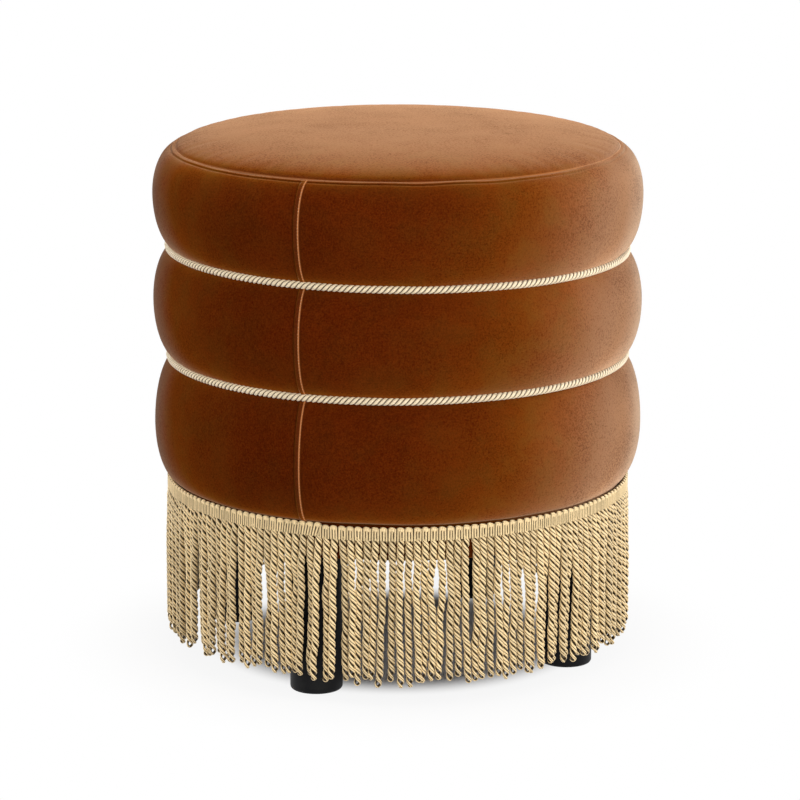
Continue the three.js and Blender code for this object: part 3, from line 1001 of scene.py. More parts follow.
@dataclass(frozen=True)
class Swelling:
    """Lets a cover swell over its stuffing while its edges are held, by a short cloth simulation."""

    rows: int = 17
    columns: int = 150
    pressure: float = 4.0
    frames: int = 20
    slack: float = 2.0 * MM
    unevenness: float = 0.7 * MM
    most: float = 2.5 * MM
    crown_share: float = 0.3
    fewest_waves: int = 2
    most_waves: int = 25
    wave_fall: float = 0.6
    quality: int = 8

    def ripple(self, seed: int) -> np.ndarray:
        """An uneven line round the seat, in metres.

        Args:
            seed: what makes one line differ from another.

        Returns:
            One value for each column.
        """
        random = np.random.default_rng(seed)
        angles = np.arange(self.columns) * TURN / self.columns
        line = np.zeros(self.columns)
        for waves in range(self.fewest_waves, self.most_waves + 1):
            line += random.normal() * np.cos(waves * angles + random.uniform(0, TURN)) / waves**self.wave_fall
        return line / np.abs(line).max() * self.unevenness

    def moves(self, radii: np.ndarray, heights: np.ndarray, seed: int, pole: bool) -> np.ndarray:
        """How far each point of a cover ends from the mean of its row.

        Args:
            radii: the outline's radii, one for each row.
            heights: its heights.
            seed: for the unevenness of the held edges.
            pole: whether the last row is the middle of the seat, which isn't held.

        Returns:
            Moves out and up, as rows by columns by 2.
        """
        share = np.linspace(0, 1, self.rows)
        fade = (1 - share)[:, None]
        rise = np.zeros(self.rows) if pole else share
        out = self.ripple(seed) * fade + self.ripple(seed + 1) * rise[:, None]
        up = self.ripple(seed + 2) * fade + self.ripple(seed + 3) * rise[:, None]
        inset = self.slack * np.sin(math.pi * share)
        start = np.stack([(radii - (0 if pole else inset))[:, None] + out,
                          (heights - (inset if pole else 0))[:, None] + up], axis=2)
        held = [0] if pole else [0, self.rows - 1]
        end = self.simulate(start, held)
        moved = end - end.mean(axis=1, keepdims=True)
        if pole:
            moved *= self.crown_share
        return np.clip(moved, -self.most, self.most)

    def simulate(self, start: np.ndarray, held: list[int]) -> np.ndarray:
        """Runs the cloth.

        Args:
            start: radius and height of each point, as rows by columns by 2.
            held: the rows that don't move.

        Returns:
            Radius and height of each point at the end.
        """
        angles = np.arange(self.columns) * TURN / self.columns
        radii, heights = start[:, :, 0], start[:, :, 1]
        points = np.stack([radii * np.cos(angles), radii * np.sin(angles), heights], axis=2)
        cover = new_object("swelling", points.reshape(-1, 3), ring_faces(self.rows, self.columns))
        group = cover.vertex_groups.new(name="held")
        group.add([row * self.columns + j for row in held for j in range(self.columns)], 1.0, "REPLACE")
        cloth = cover.modifiers.new("cloth", "CLOTH")
        cloth.settings.vertex_group_mass = "held"
        cloth.settings.use_pressure = True
        cloth.settings.uniform_pressure_force = self.pressure
        cloth.settings.effector_weights.gravity = 0.0
        cloth.settings.quality = self.quality
        scene = bpy.context.scene
        for number in range(1, self.frames + 1):
            scene.frame_set(number)
        graph = bpy.context.evaluated_depsgraph_get()
        mesh = cover.evaluated_get(graph).to_mesh()
        flat = np.empty(len(mesh.vertices) * 3)
        mesh.vertices.foreach_get("co", flat)
        bpy.data.objects.remove(cover)
        scene.frame_set(1)
        ended = flat.reshape(self.rows, self.columns, 3)
        return np.stack([np.hypot(ended[:, :, 0], ended[:, :, 1]), ended[:, :, 2]], axis=2)

    def spread(self, moves: np.ndarray, share: np.ndarray, angles: np.ndarray) -> np.ndarray:
        """Reads coarse moves at the points of a finer grid.

        Args:
            moves: rows by columns by 2.
            share: where each fine row lies, from 0 to 1.
            angles: where each fine column stands, in radians.

        Returns:
            The moves at each fine point.
        """
        row = np.clip(share, 0, 1) * (self.rows - 1)
        i = np.minimum(row.astype(int), self.rows - 2)
        v = (row - i)[:, None, None]
        column = (angles % TURN) / TURN * self.columns
        j = column.astype(int) % self.columns
        u = (column - column.astype(int))[None, :, None]
        k = (j + 1) % self.columns
        low = moves[i][:, j] * (1 - u) + moves[i][:, k] * u
        high = moves[i + 1][:, j] * (1 - u) + moves[i + 1][:, k] * u
        return low * (1 - v) + high * v


@dataclass(frozen=True)
class VelvetBody:
    """The velvet covers: three bands, each closed by one upright seam, and the crowned top."""

    groove_depth: float = 20.5 * MM
    lower_belly_share: float = 0.43
    middle_belly_share: float = 0.51
    upper_belly_share: float = 0.55
    crown_fall: float = 3.0
    crown_round: float = 1.85
    turn_under: float = 28 * MM
    hem_radius: float = 2 * MM
    upper_tilt: float = -0.0096
    lower_tilt: float = 0.0025
    fine_step: float = 0.45 * MM
    fine_reach: float = 8 * MM
    coarse_step: float = 4.4 * MM
    step_growth: float = 1.3
    # painted shade near each groove: its width, then its strength
    groove_shade: float = 3.2 * MM
    groove_painted_shade: float = 0.75
    # strength of the painted seam highlight along the top seam
    top_light: float = 0.8
    padding: float = 0.9
    band_steps: int = 40
    fine_share: float = 0.14
    fine_steps: int = 19
    wide_steps: int = 33
    hem_steps: tuple[int, int, int] = (7, 5, 11)
    edge_reach: float = 7 * MM
    edge_steps: int = 14
    crown_steps: int = 33
    top_columns: int = 300
    pole_share: float = 0.02
    stitch_start: float = 1.4 * MM
    stitch_pitch: float = 2.8 * MM
    stitch_rise: float = 0.1 * MM
    stitch_length: float = 1.3 * MM
    stitch_thickness: float = 0.55 * MM
    stitch_lean: float = 0.35
    stitched_shares: tuple[float, float] = (0.03, 0.97)
    stitch_samples: int = 400
    ridge: SeamRidge = SeamRidge()
    swelling: Swelling = Swelling()

    def belly_radius(self) -> float:
        """The widest radius of the rolls."""
        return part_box("velvet_middle_band")[1].x

    def seam_radius(self) -> float:
        """The radius of the seam round the top."""
        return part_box("velvet_top_panel")[1].x

    def skirt_radius(self) -> float:
        """The radius of the velvet where it runs down over the base board."""
        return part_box("base_board")[1].x + VELVET_THICKNESS + SEAT_GAP

    def lower_groove(self) -> float:
        """The height of the lower groove."""
        return (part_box("velvet_lower_band")[1].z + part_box("velvet_middle_band")[0].z) / 2

    def upper_groove(self) -> float:
        """The height of the upper groove."""
        return (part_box("velvet_middle_band")[1].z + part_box("velvet_upper_band")[0].z) / 2

    def rolls(self) -> tuple[Roll, Roll, Roll]:
        """The outlines of the lower, middle and upper roll."""
        belly = self.belly_radius()
        groove = belly - self.groove_depth
        header_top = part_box(Quarter.FRONT_LEFT.node)[1].z + SEAT_GAP
        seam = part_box("velvet_upper_band")[1].z
        low, high = self.lower_groove(), self.upper_groove()
        lower = Roll(header_top, low, self.skirt_radius(), groove, belly, self.lower_belly_share)
        middle = Roll(low, high, groove, groove, belly, self.middle_belly_share)
        upper = Roll(high, seam, groove, self.seam_radius(), belly, self.upper_belly_share)
        return lower, middle, upper

    def crown_height(self, radii: np.ndarray) -> np.ndarray:
        """The height of the plain crown at each radius."""
        low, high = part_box("velvet_top_panel")[0].z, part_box("velvet_top_panel")[1].z
        share = np.clip(radii / self.seam_radius(), 0, 1)
        return low + (high - low) * (1 - share**self.crown_fall) ** (1 / self.crown_round)

    def columns(self) -> np.ndarray:
        """Angles round a band, close together beside its seam.

        Returns:
            The angles from the seam, in radians.
        """
        radius = self.belly_radius()
        half_way = math.pi * radius
        places, step = [0.0], self.fine_step
        while places[-1] + step < half_way:
            places.append(places[-1] + step)
            if places[-1] > self.fine_reach:
                step = min(step * self.step_growth, self.coarse_step)
        right = np.array(places) / radius
        return np.concatenate([right, TURN - right[:0:-1]])

    def rows(self, fine_top: bool) -> np.ndarray:
        """Shares of a roll's outline, close together under the top seam where it has one."""
        if not fine_top:
            return np.linspace(0, 1, self.band_steps + 1)
        start = 1 - self.fine_share
        wide = np.linspace(0, start, self.wide_steps + 1)[:-1]
        return np.concatenate([wide, np.linspace(start, 1, self.fine_steps + 1)])

    def tilt(self, heights: np.ndarray, angles: np.ndarray) -> np.ndarray:
        """How far the grooves' slight tilt lifts each point.

        Args:
            heights: one for each row.
            angles: one for each column.

        Returns:
            Rows by columns of lifts.
        """
        low, high = self.lower_groove(), self.upper_groove()
        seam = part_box("velvet_upper_band")[1].z
        across = (self.belly_radius() - self.groove_depth) * np.cos(angles - VIEW_RIGHT)
        near_low = smoothstep(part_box("base_board")[1].z, low, heights) * (1 - smoothstep(low, high, heights))
        near_high = smoothstep(low, high, heights) * (1 - smoothstep(high, seam, heights))
        slope = self.lower_tilt * near_low + self.upper_tilt * near_high
        return slope[:, None] * across[None, :]

    def band(self, name: str, node: str, roll: Roll, seed: int, fine_top: bool = False,
             hem: bool = False) -> bpy.types.Object:
        """Makes one band.

        Args:
            name: the piece's name.
            node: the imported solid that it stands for.
            roll: its outline.
            seed: for its unevenness.
            fine_top: whether the seam of the top runs along its upper edge.
            hem: whether it runs on down and under the base board.

        Returns:
            The piece.
        """
        share = self.rows(fine_top)
        radii, heights = roll.at(share)
        from_end = arc_lengths(radii[::-1], heights[::-1])[::-1]
        # painted shade along the ends of each roll that lie in a groove
        groove = bell(arc_lengths(radii, heights), self.groove_shade)
        if not fine_top:
            groove = np.maximum(groove, bell(from_end, self.groove_shade))
        if hem:
            hem_radii, hem_heights = self.hem_outline(roll)
            radii, heights = np.append(hem_radii, radii), np.append(hem_heights, heights)
            share = np.append(np.zeros(len(hem_radii)), share)
            groove = np.append(np.zeros(len(hem_radii)), groove)
        angles = self.columns()
        polar = angles + SEAM_POLAR
        around = (angles + math.pi) % TURN - math.pi
        distance = -around[None, :] * radii[:, None]
        lift = self.ridge.height_at(distance)
        light = self.ridge.light_at(distance)
        shade = np.maximum(self.ridge.shade_at(distance), self.groove_painted_shade * groove[:, None])
        if fine_top:
            top_lift = self.ridge.height_at(from_end)[:, None]
            lift = np.maximum(lift, top_lift) + np.minimum(np.minimum(lift, top_lift), 0)
            light = np.maximum(light, self.top_light * self.ridge.light_at(from_end)[:, None])
            shade = np.maximum(shade, self.ridge.shade_at(from_end)[:, None])
        if hem:
            lift[: len(hem_radii)] = 0
        coarse = roll.at(np.linspace(0, 1, self.swelling.rows))
        moves = self.swelling.spread(self.swelling.moves(*coarse, seed, False), share, polar)
        piece = self.shell(name, radii, heights, polar, lift, moves, None)
        store(piece, "seam_light", light)
        store(piece, "seam_shade", shade)
        hand_over(piece, "velvet", VELVET, node)
        return piece

    def hem_outline(self, roll: Roll) -> tuple[np.ndarray, np.ndarray]:
        """The part of the lower band below its roll: turned under the base board and up over its edge.

        Args:
            roll: the lower roll.

        Returns:
            The radii and heights of its points.
        """
        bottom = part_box("velvet_lower_band")[0].z
        radius, corner = self.skirt_radius(), self.hem_radius
        flat_steps, bend_steps, rise_steps = self.hem_steps
        inner = np.linspace(radius - self.turn_under, radius - corner, flat_steps + 1)
        bend = np.linspace(0, TURN / 4, bend_steps + 1)[1:]
        rise = np.linspace(bottom + corner, roll.low, rise_steps + 1)[1:-1]
        radii = np.concatenate([inner, radius - corner + corner * np.sin(bend), np.full(len(rise), radius)])
        heights = np.concatenate([np.full(len(inner), bottom), bottom + corner * (1 - np.cos(bend)), rise])
        return radii, heights

    def shell(self, name: str, radii: np.ndarray, heights: np.ndarray, polar: np.ndarray, lift: np.ndarray,
              moves: np.ndarray, pole: float | None) -> bpy.types.Object:
        """Turns an outline round the seat and gives it the velvet's thickness.

        Args:
            name: the object's name.
            radii: the outline's radii.
            heights: its heights.
            polar: the columns' angles.
            lift: how far each point stands off the outline, along its normal.
            moves: how far each point moves out and up besides.
            pole: the height at which the outline meets the axis, or None where it doesn't.

        Returns:
            The object, with its outer vertices first.
        """
        run, climb = np.gradient(radii), np.gradient(heights)
        size = np.hypot(run, climb)
        out, up = (climb / size)[:, None], (-run / size)[:, None]
        tilt = self.tilt(heights, polar)
        layers = []
        for depth in (0.0, VELVET_THICKNESS):
            r = radii[:, None] + out * (lift - depth) + moves[:, :, 0]
            z = heights[:, None] + up * (lift - depth) + moves[:, :, 1] + tilt
            layers.append(np.stack([r * np.cos(polar), r * np.sin(polar), z], axis=2).reshape(-1, 3))
        rows, columns = len(radii), len(polar)
        count = rows * columns
        faces = ring_faces(rows, columns) + ring_faces(rows, columns, count, True)
        ends = [0] if pole is not None else [0, rows - 1]
        for row in ends:
            for j in range(columns):
                a, b = row * columns + j, row * columns + (j + 1) % columns
                rim = (a, a + count, b + count, b)
                faces.append(rim if row == 0 else rim[::-1])
        points = np.concatenate(layers)
        if pole is not None:
            for layer, depth in ((0, 0.0), (1, VELVET_THICKNESS)):
                centre = len(points)
                points = np.append(points, [[0.0, 0.0, pole - depth]], axis=0)
                for j in range(columns):
                    a = layer * count + (rows - 1) * columns + j
                    b = layer * count + (rows - 1) * columns + (j + 1) % columns
                    faces.append((a, b, centre) if layer == 0 else (b, a, centre))
        return new_object(name, points, faces)

    def top(self) -> bpy.types.Object:
        """Makes the crowned top.

        Returns:
            The piece.
        """
        edge = self.seam_radius()
        fine = np.linspace(edge, edge - self.edge_reach, self.edge_steps + 1)
        angle = np.linspace(math.acos(fine[-1] / edge), math.pi / 2, self.crown_steps + 1)[1:-1]
        radii = np.append(fine, edge * np.cos(angle))
        heights = self.crown_height(radii)
        polar = np.arange(self.top_columns) * TURN / self.top_columns
        from_edge = arc_lengths(radii, heights)
        lift = self.ridge.height_at(-from_edge)[:, None] + np.zeros((1, len(polar)))
        light = self.top_light * self.ridge.light_at(from_edge)[:, None] + np.zeros((1, len(polar)))
        coarse_share = np.linspace(0, 1, self.swelling.rows)
        coarse = edge * np.cos(coarse_share * math.pi / 2)
        coarse[-1] = edge * self.pole_share
        moves = self.swelling.moves(coarse, self.crown_height(coarse), 70, True)
        share = np.arccos(np.clip(radii / edge, 0, 1)) / (math.pi / 2)
        moves = self.swelling.spread(moves, share, polar)
        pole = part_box("velvet_top_panel")[1].z
        piece = self.shell("velvet_top", radii, heights, polar, lift, moves, pole)
        store(piece, "seam_light", light)
        store(piece, "seam_shade", np.zeros(light.size))
        hand_over(piece, "velvet", VELVET, "velvet_top_panel")
        return piece

    def stitches(self) -> bpy.types.Object:
        """Makes the small stitches that show along the three upright seams.

        Returns:
            The piece.
        """
        places = []
        for roll in self.rolls():
            radii, heights = roll.at(np.linspace(*self.stitched_shares, self.stitch_samples))
            length = arc_lengths(radii, heights)
            spots = np.arange(self.stitch_start, length[-1], self.stitch_pitch)
            r, z = np.interp(spots, length, radii), np.interp(spots, length, heights)
            r = r + self.ridge.height + self.stitch_rise
            tilt = self.tilt(z, np.array([SEAM_POLAR]))[:, 0]
            places.append(np.stack([r * math.cos(SEAM_POLAR), r * math.sin(SEAM_POLAR), z + tilt], axis=1))
        base = bpy.data.meshes.new("stitch_places")
        base.from_pydata([tuple(p) for p in np.concatenate(places)], [], [])
        sizes = {"Stitch Length": self.stitch_length, "Stitch Thickness": self.stitch_thickness, "Seed": 3}
        trim = Trim("seam_stitches", sizes)
        graph = trim.graph
        bead = graph.node("GeometryNodeMeshUVSphere", {"Segments": 6, "Rings": 4, "Radius": 0.5}).outputs[0]
        thick = trim.size("Stitch Thickness")
        length = trim.size("Stitch Length") * (trim.chance(trim.index(), 1.0) * 0.5 + 0.7)
        sockets = {
            "Points": trim.base,
            "Instance": bead,
            "Rotation": (self.stitch_lean, 0.0, SEAM_POLAR),
            "Scale": graph.point(thick, length, thick),
        }
        beads = graph.node("GeometryNodeInstanceOnPoints", sockets).outputs[0]
        trim.end([graph.node("GeometryNodeSetShadeSmooth", {0: beads}).outputs[0]], RUST_THREAD)
        return hand_over(trim.bake("seam_stitches", base), "velvet", None)

    def build(self) -> None:
        """Makes all the covers."""
        lower, middle, upper = self.rolls()
        self.band("velvet_band_lower", "velvet_lower_band", lower, 10, hem=True)
        self.band("velvet_band_middle", "velvet_middle_band", middle, 30)
        self.band("velvet_band_upper", "velvet_upper_band", upper, 50, fine_top=True)
        self.top()
        self.stitches()


@dataclass(frozen=True)
class GrooveCords:
    """A three-ply cord laid in each groove, as one ring."""

    turns: int = 90
    plies: int = 3
    steps_per_turn: int = 9
    fullness: float = 1.08
    ply_share: float = 0.47

    def tree(self) -> Trim:
        """Builds the rope's tree.

        Returns:
            The tree.
        """
        sizes = dict.fromkeys(("Ring Radius", "Height", "Tilt", "Ply Offset", "Ply Radius"), 0.0)
        trim = Trim("groove_cord", {**sizes, "Turns": self.turns, "Seed": 1})
        graph = trim.graph
        count = self.turns * self.steps_per_turn
        ply = graph.math("FLOOR", (trim.index() + 0.5) / count)
        share = (trim.index() - ply * count) / count
        angle = share * TURN
        twist = share * trim.size("Turns") * TURN + ply * (TURN / self.plies)
        out, up = graph.math("COSINE", twist), graph.math("SINE", twist)
        radius = trim.size("Ring Radius") + trim.size("Ply Offset") * out
        across = graph.math("COSINE", angle - VIEW_RIGHT)
        height = trim.size("Height") + trim.size("Ring Radius") * trim.size("Tilt") * across
        place = graph.round_axis(angle, radius, height + trim.size("Ply Offset") * up)
        points = trim.points(count * self.plies, place)
        facing = graph.round_axis(angle, out, up)
        tone = trim.chance(ply, 4.0) * 0.4 + graph.noise(place, 60.0) * 0.6
        trim.end([trim.plies(points, ply, facing, trim.size("Ply Radius"), True, tone, CORD_PLY)], CREAM_YARN)
        return trim

    def build(self, body: VelvetBody) -> None:
        """Lays a cord in each groove.

        Args:
            body: the velvet body, for the grooves' tilt.
        """
        tree = self.tree()
        for name, tilt in (("upper_groove_cord", body.upper_tilt), ("lower_groove_cord", body.lower_tilt)):
            low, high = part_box(name)
            plain = (high.z - low.z) / math.sin(TURN / 6) / 2
            radius = plain * self.fullness
            ply = radius * self.ply_share
            cord = tree.bake(f"{name}_twisted", Ring_Radius=high.x - plain, Height=(low.z + high.z) / 2,
                             Tilt=tilt, Ply_Offset=radius - ply, Ply_Radius=ply)
            hand_over(cord, "groove_cord", None, name)


@dataclass(frozen=True)
class Parting:
    """A gap between strands: its angle in degrees, its width, and the stretch of the strands it takes."""

    polar: float
    width: float
    start_share: float
    end_share: float


PARTINGS = (
    Parting(-164, 2.4 * MM, 0.14, 0.77),
    Parting(-156, 2.0 * MM, 0.35, 0.92),
    Parting(-151, 4.6 * MM, 0.08, 0.96),
    Parting(-144, 3.0 * MM, 0.30, 0.64),
    Parting(-138, 2.0 * MM, 0.20, 0.80),
    Parting(-132, 2.0 * MM, 0.18, 0.86),
    Parting(-128, 3.0 * MM, 0.17, 1.05),
    Parting(-124, 2.6 * MM, 0.10, 1.05),
    Parting(-120, 1.6 * MM, 0.16, 0.43),
    Parting(-112, 1.2 * MM, 0.15, 0.42),
    Parting(-100, 4.0 * MM, 0.22, 0.52),
    Parting(-92, 4.6 * MM, 0.04, 0.74),
    Parting(-84, 2.4 * MM, 0.22, 0.56),
    Parting(-78, 2.0 * MM, 0.26, 0.42),
    Parting(-62, 3.4 * MM, 0.24, 0.92),
    Parting(-52, 3.2 * MM, 0.74, 1.05),
)


@dataclass(frozen=True)
class BullionFringe:
    """A ribbed header with a looped edge and twisted strands, kept in four quarters."""

    strands_per_quarter: int = 45
    ribs_per_strand: int = 3
    pitch: float = 15.6 * MM
    strand_radius: float = 3.42 * MM
    offset_share: float = 0.5
    bead: tuple[float, float, float] = (3.4 * MM, 7.7 * MM, 4.4 * MM)
    steps_per_turn: int = 12
    loop_steps: int = 5
    join_polar: float = math.radians(-128.8)
    spiral: float = 0.8 * MM
    parting_fade: float = 16 * MM
    stand_off: float = 5.3 * MM
    lean: float = 4.6 * MM
    sway: float = 3.3 * MM
    depth: float = 2.3 * MM
    end_loop: float = 2.6 * MM
    longest_extra: float = 3 * MM
    length_spread: float = 8.5 * MM
    tuck_up: float = 2 * MM
    tuck_in: float = 1.2 * MM
    rib_radius: float = 1.12 * MM
    rib_out: float = 1.35 * MM
    rib_shortfall: float = 1.0 * MM
    rib_hollow: float = 0.1 * MM
    edge_out: float = 0.7 * MM
    tape_out: float = 1.0 * MM
    tape_below: float = 0.3 * MM
    tape_drop: float = 2.2 * MM
    tip_stretch: tuple[float, float] = (0.92, 0.99)
    tip_opening: float = 0.25
    tip_thinning: float = 0.32
    slim_stretch: tuple[float, float] = (0.25, 0.60)
    slimming: float = 0.06
    pace_spread: float = 0.10
    clump_scale: float = 3.4
    clump_share: float = 5.0
    sway_waves: float = 3.6
    sway_share: float = 2.0
    hang_power: float = 1.3
    join_fade: float = 7.0
    join_lean: float = -0.30
    rib_lean_spread: float = 0.06
    loop_lean: float = -0.22
    loop_lean_spread: float = 0.16
    loop_size_spread: float = 0.10

    def strand_circle(self) -> float:
        """The radius that the strands hang on."""
        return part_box("base_board")[1].x + self.stand_off

    def strand_angle(self, strand: Number) -> Number:
        """The angle round the seat of a strand, from its number."""
        return (strand + 0.5) * (TURN / (4 * self.strands_per_quarter))

    def header_rise(self, graph: Graph, angle: Number) -> Number:
        """How far the header stands above its mean height: it runs on a slight spiral from its join."""
        from_join = graph.math("FLOORED_MODULO", angle - self.join_polar, TURN)
        return from_join * (self.spiral / math.pi) - self.spiral

    def tree(self) -> Trim:
        """Builds the fringe's tree: strands, ribs and the looped edge.

        Returns:
            The tree.
        """
        low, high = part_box(Quarter.FRONT_LEFT.node)
        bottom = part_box("base_board")[1].z
        sizes = {
            "First Strand": 0,
            "Circle": self.strand_circle(),
            "Header Bottom": bottom,
            "Header Height": high.z - bottom,
            "Strand Length": bottom - low.z,
            "Pitch": self.pitch,
            "Strand Radius": self.strand_radius,
            "Lean": self.lean,
            "Sway": self.sway,
            "Depth": self.depth,
            "Seed": 5,
        }
        trim = Trim("bullion_fringe", sizes)
        trim.end([trim.base, self.strands(trim), self.ribs(trim), self.edge(trim)], BEIGE_YARN)
        return trim

    def strands(self, trim: Trim) -> bpy.types.NodeSocket:
        """The hanging strands. Each is one ply of two yarns that goes down, round its end loop and back up,
        twisted about itself.

        Args:
            trim: the fringe's tree.

        Returns:
            Their mesh.
        """
        graph = trim.graph
        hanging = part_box("base_board")[1].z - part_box(Quarter.FRONT_LEFT.node)[0].z
        body = round(hanging / self.pitch * self.steps_per_turn)
        turn = body + self.loop_steps
        count = 2 * turn + 1
        local = graph.math("FLOOR", (trim.index() + 0.5) / count)
        step = trim.index() - local * count
        strand = local + trim.size("First Strand")
        angle = self.strand_angle(strand)
        from_top = graph.math("MINIMUM", step, (count - 1) - step)
        side = 1.0 - graph.math("GREATER_THAN", step, turn) * 2.0
        share = graph.math("MULTIPLY", from_top, 1 / body, clamp=True)
        bend = graph.math("MULTIPLY", from_top - body, 1 / self.loop_steps, clamp=True) * (TURN / 4)
        uneven = trim.chance(strand, 11.0) * self.length_spread
        total = trim.size("Strand Length") - uneven + self.longest_extra
        down = share * (total - self.end_loop) + graph.math("SINE", bend) * self.end_loop
        tip = graph.rise(share, *self.tip_stretch)
        opened = tip * self.tip_opening + 1.0
        shut = graph.math("COSINE", bend)
        apart = trim.size("Strand Radius") * side * opened * shut * self.offset_share
        pace = (trim.chance(strand, 16.0) - 0.5) * self.pace_spread + 1.0
        twist = down / trim.size("Pitch") * pace * TURN + trim.chance(strand, 12.0) * TURN
        hang = down / total
        out, aside = self.drift(trim, strand, angle, hang)
        turn_out, turn_aside = graph.math("COSINE", twist), graph.math("SINE", twist)
        radius = trim.size("Circle") + out + apart * turn_out
        height = trim.size("Header Bottom") + self.header_rise(graph, angle) + self.tuck_up - down
        place = graph.round_axis(angle, radius, height, aside + apart * turn_aside)
        points = trim.points(count * self.strands_per_quarter, place)
        fall = graph.math("SINE", bend) * -1.0
        facing = graph.round_axis(angle, turn_out * side * shut, fall, turn_aside * side * shut)
        tone = trim.chance(strand, 13.0)
        girth = 1.0 - tip * self.tip_thinning - graph.rise(share, *self.slim_stretch) * self.slimming
        return trim.plies(points, local, facing, trim.size("Strand Radius"), False, tone, PAIRED_PLY, girth)

    def drift(self, trim: Trim, strand: Number, angle: Number, hang: Number) -> tuple[Number, Number]:
        """How far a strand's middle line stands out from its circle, and to its left.

        Args:
            trim: the fringe's tree.
            strand: the strand's number.
            angle: its angle round the seat.
            hang: how far down it the point is, from 0 to 1.

        Returns:
            The two distances.
        """
        graph = trim.graph
        cosine, sine = graph.math("COSINE", angle), graph.math("SINE", angle)
        clump = graph.noise(graph.point(cosine, sine, 0.3), self.clump_scale, 2.0, 0.6) - 0.5
        own = trim.chance(strand, 14.0) - 0.5
        sway = graph.noise(graph.point(strand * 3.7, hang * self.sway_waves, 0.0), 1.0, 1.0) - 0.5
        aside = clump * self.clump_share * trim.size("Lean") + own * trim.size("Sway")
        aside = aside * graph.math("POWER", hang, self.hang_power)
        aside = aside + sway * trim.size("Sway") * self.sway_share * graph.rise(hang, 0.0, 0.3)
        for parting in PARTINGS:
            offset = angle - math.radians(parting.polar % 360)
            arc = offset * self.strand_circle()
            near = graph.math("EXPONENT", graph.math("ABSOLUTE", arc) * (-1 / self.parting_fade))
            opened = graph.rise(hang, parting.start_share - 0.06, parting.start_share + 0.08)
            shut = graph.rise(hang, parting.end_share - 0.10, parting.end_share + 0.04)
            push = graph.math("SIGN", arc) * near * opened * (1.0 - shut)
            aside = aside + push * (parting.width / 2)
        parity = graph.math("FLOORED_MODULO", strand, 2.0) * 2.0 - 1.0
        depth = parity * (trim.chance(strand, 15.0) * 0.8 + 0.2) * trim.size("Depth")
        out = depth * graph.rise(hang, 0.02, 0.5) + graph.rise(hang, 0.0, 0.10) * self.tuck_in - self.tuck_in
        return out, aside

    def ribs(self, trim: Trim) -> bpy.types.NodeSocket:
        """The upright ribs of the header.

        Args:
            trim: the fringe's tree.

        Returns:
            Their instances.
        """
        graph = trim.graph
        count = self.strands_per_quarter * self.ribs_per_strand
        first = trim.size("First Strand") * self.ribs_per_strand
        rib = trim.index() + first
        angle = (rib + 0.5) * (TURN / (4 * count))
        height = trim.size("Header Bottom") + self.header_rise(graph, angle)
        points = trim.points(count, graph.round_axis(angle, trim.size("Circle") + self.rib_out, height))
        points = trim.keep(points, "tone", trim.chance(rib, 21.0))
        top = trim.size("Header Height") - self.rib_shortfall
        sockets = {"Start": (0.0, 0.0, 0.0), "End": graph.point(0.0, 0.0, top)}
        line = graph.node("GeometryNodeCurvePrimitiveLine", sockets).outputs[0]
        sockets = {"Resolution": 8, "Radius": self.rib_radius}
        circle = graph.node("GeometryNodeCurvePrimitiveCircle", sockets).outputs[0]
        sockets = {"Curve": line, "Profile Curve": circle, "Fill Caps": True}
        bar = graph.node("GeometryNodeCurveToMesh", sockets).outputs[0]
        bar = graph.node("GeometryNodeSetShadeSmooth", {0: bar}).outputs[0]
        x, _, _ = graph.parts(graph.node("GeometryNodeInputPosition").outputs[0])
        # crest falls to 0 on the rib's sides and back: painted shade between the ribs
        bar = trim.keep(bar, "crest", graph.rise(x, self.rib_hollow, self.rib_radius) * 0.90)
        past_join = graph.math("FLOORED_MODULO", angle - self.join_polar, TURN)
        pushed = graph.math("EXPONENT", (past_join - TURN) * self.join_fade) * self.join_lean
        lean = pushed + (trim.chance(rib, 22.0) - 0.5) * self.rib_lean_spread
        sockets = {"Points": points, "Instance": bar, "Rotation": graph.point(lean, 0.0, angle)}
        return graph.node("GeometryNodeInstanceOnPoints", sockets).outputs[0]

    def edge(self, trim: Trim) -> bpy.types.NodeSocket:
        """The looped edge along the top of the header, with one full loop over each strand.

        Args:
            trim: the fringe's tree.

        Returns:
            Its instances.
        """
        graph = trim.graph
        strand = trim.index() + trim.size("First Strand")
        angle = self.strand_angle(strand)
        depth, width, height = self.bead
        level = trim.size("Header Bottom") + trim.size("Header Height")
        level = level + self.header_rise(graph, angle) - height / 2
        place = graph.round_axis(angle, trim.size("Circle") + self.edge_out, level)
        points = trim.points(self.strands_per_quarter, place)
        points = trim.keep(points, "tone", trim.chance(strand, 31.0) * 0.5 + 0.5)
        bead = graph.node("GeometryNodeMeshUVSphere", {"Segments": 12, "Rings": 7, "Radius": 0.5}).outputs[0]
        _, y, _ = graph.parts(graph.node("GeometryNodeInputPosition").outputs[0])
        # crest falls to 0 at each loop's sides: painted shade where the loops meet
        out = graph.math("SQRT", 1.0 - graph.math("MINIMUM", y * y * 4.0, 1.0))
        bead = trim.keep(graph.node("GeometryNodeSetShadeSmooth", {0: bead}).outputs[0], "crest", out)
        lean = self.loop_lean + (trim.chance(strand, 32.0) - 0.5) * self.loop_lean_spread
        size = 1.0 + (trim.chance(strand, 33.0) - 0.5) * self.loop_size_spread
        sockets = {"Points": points, "Instance": bead, "Rotation": graph.point(lean, 0.0, angle),
                   "Scale": graph.point(depth, width, size * height)}
        return graph.node("GeometryNodeInstanceOnPoints", sockets).outputs[0]

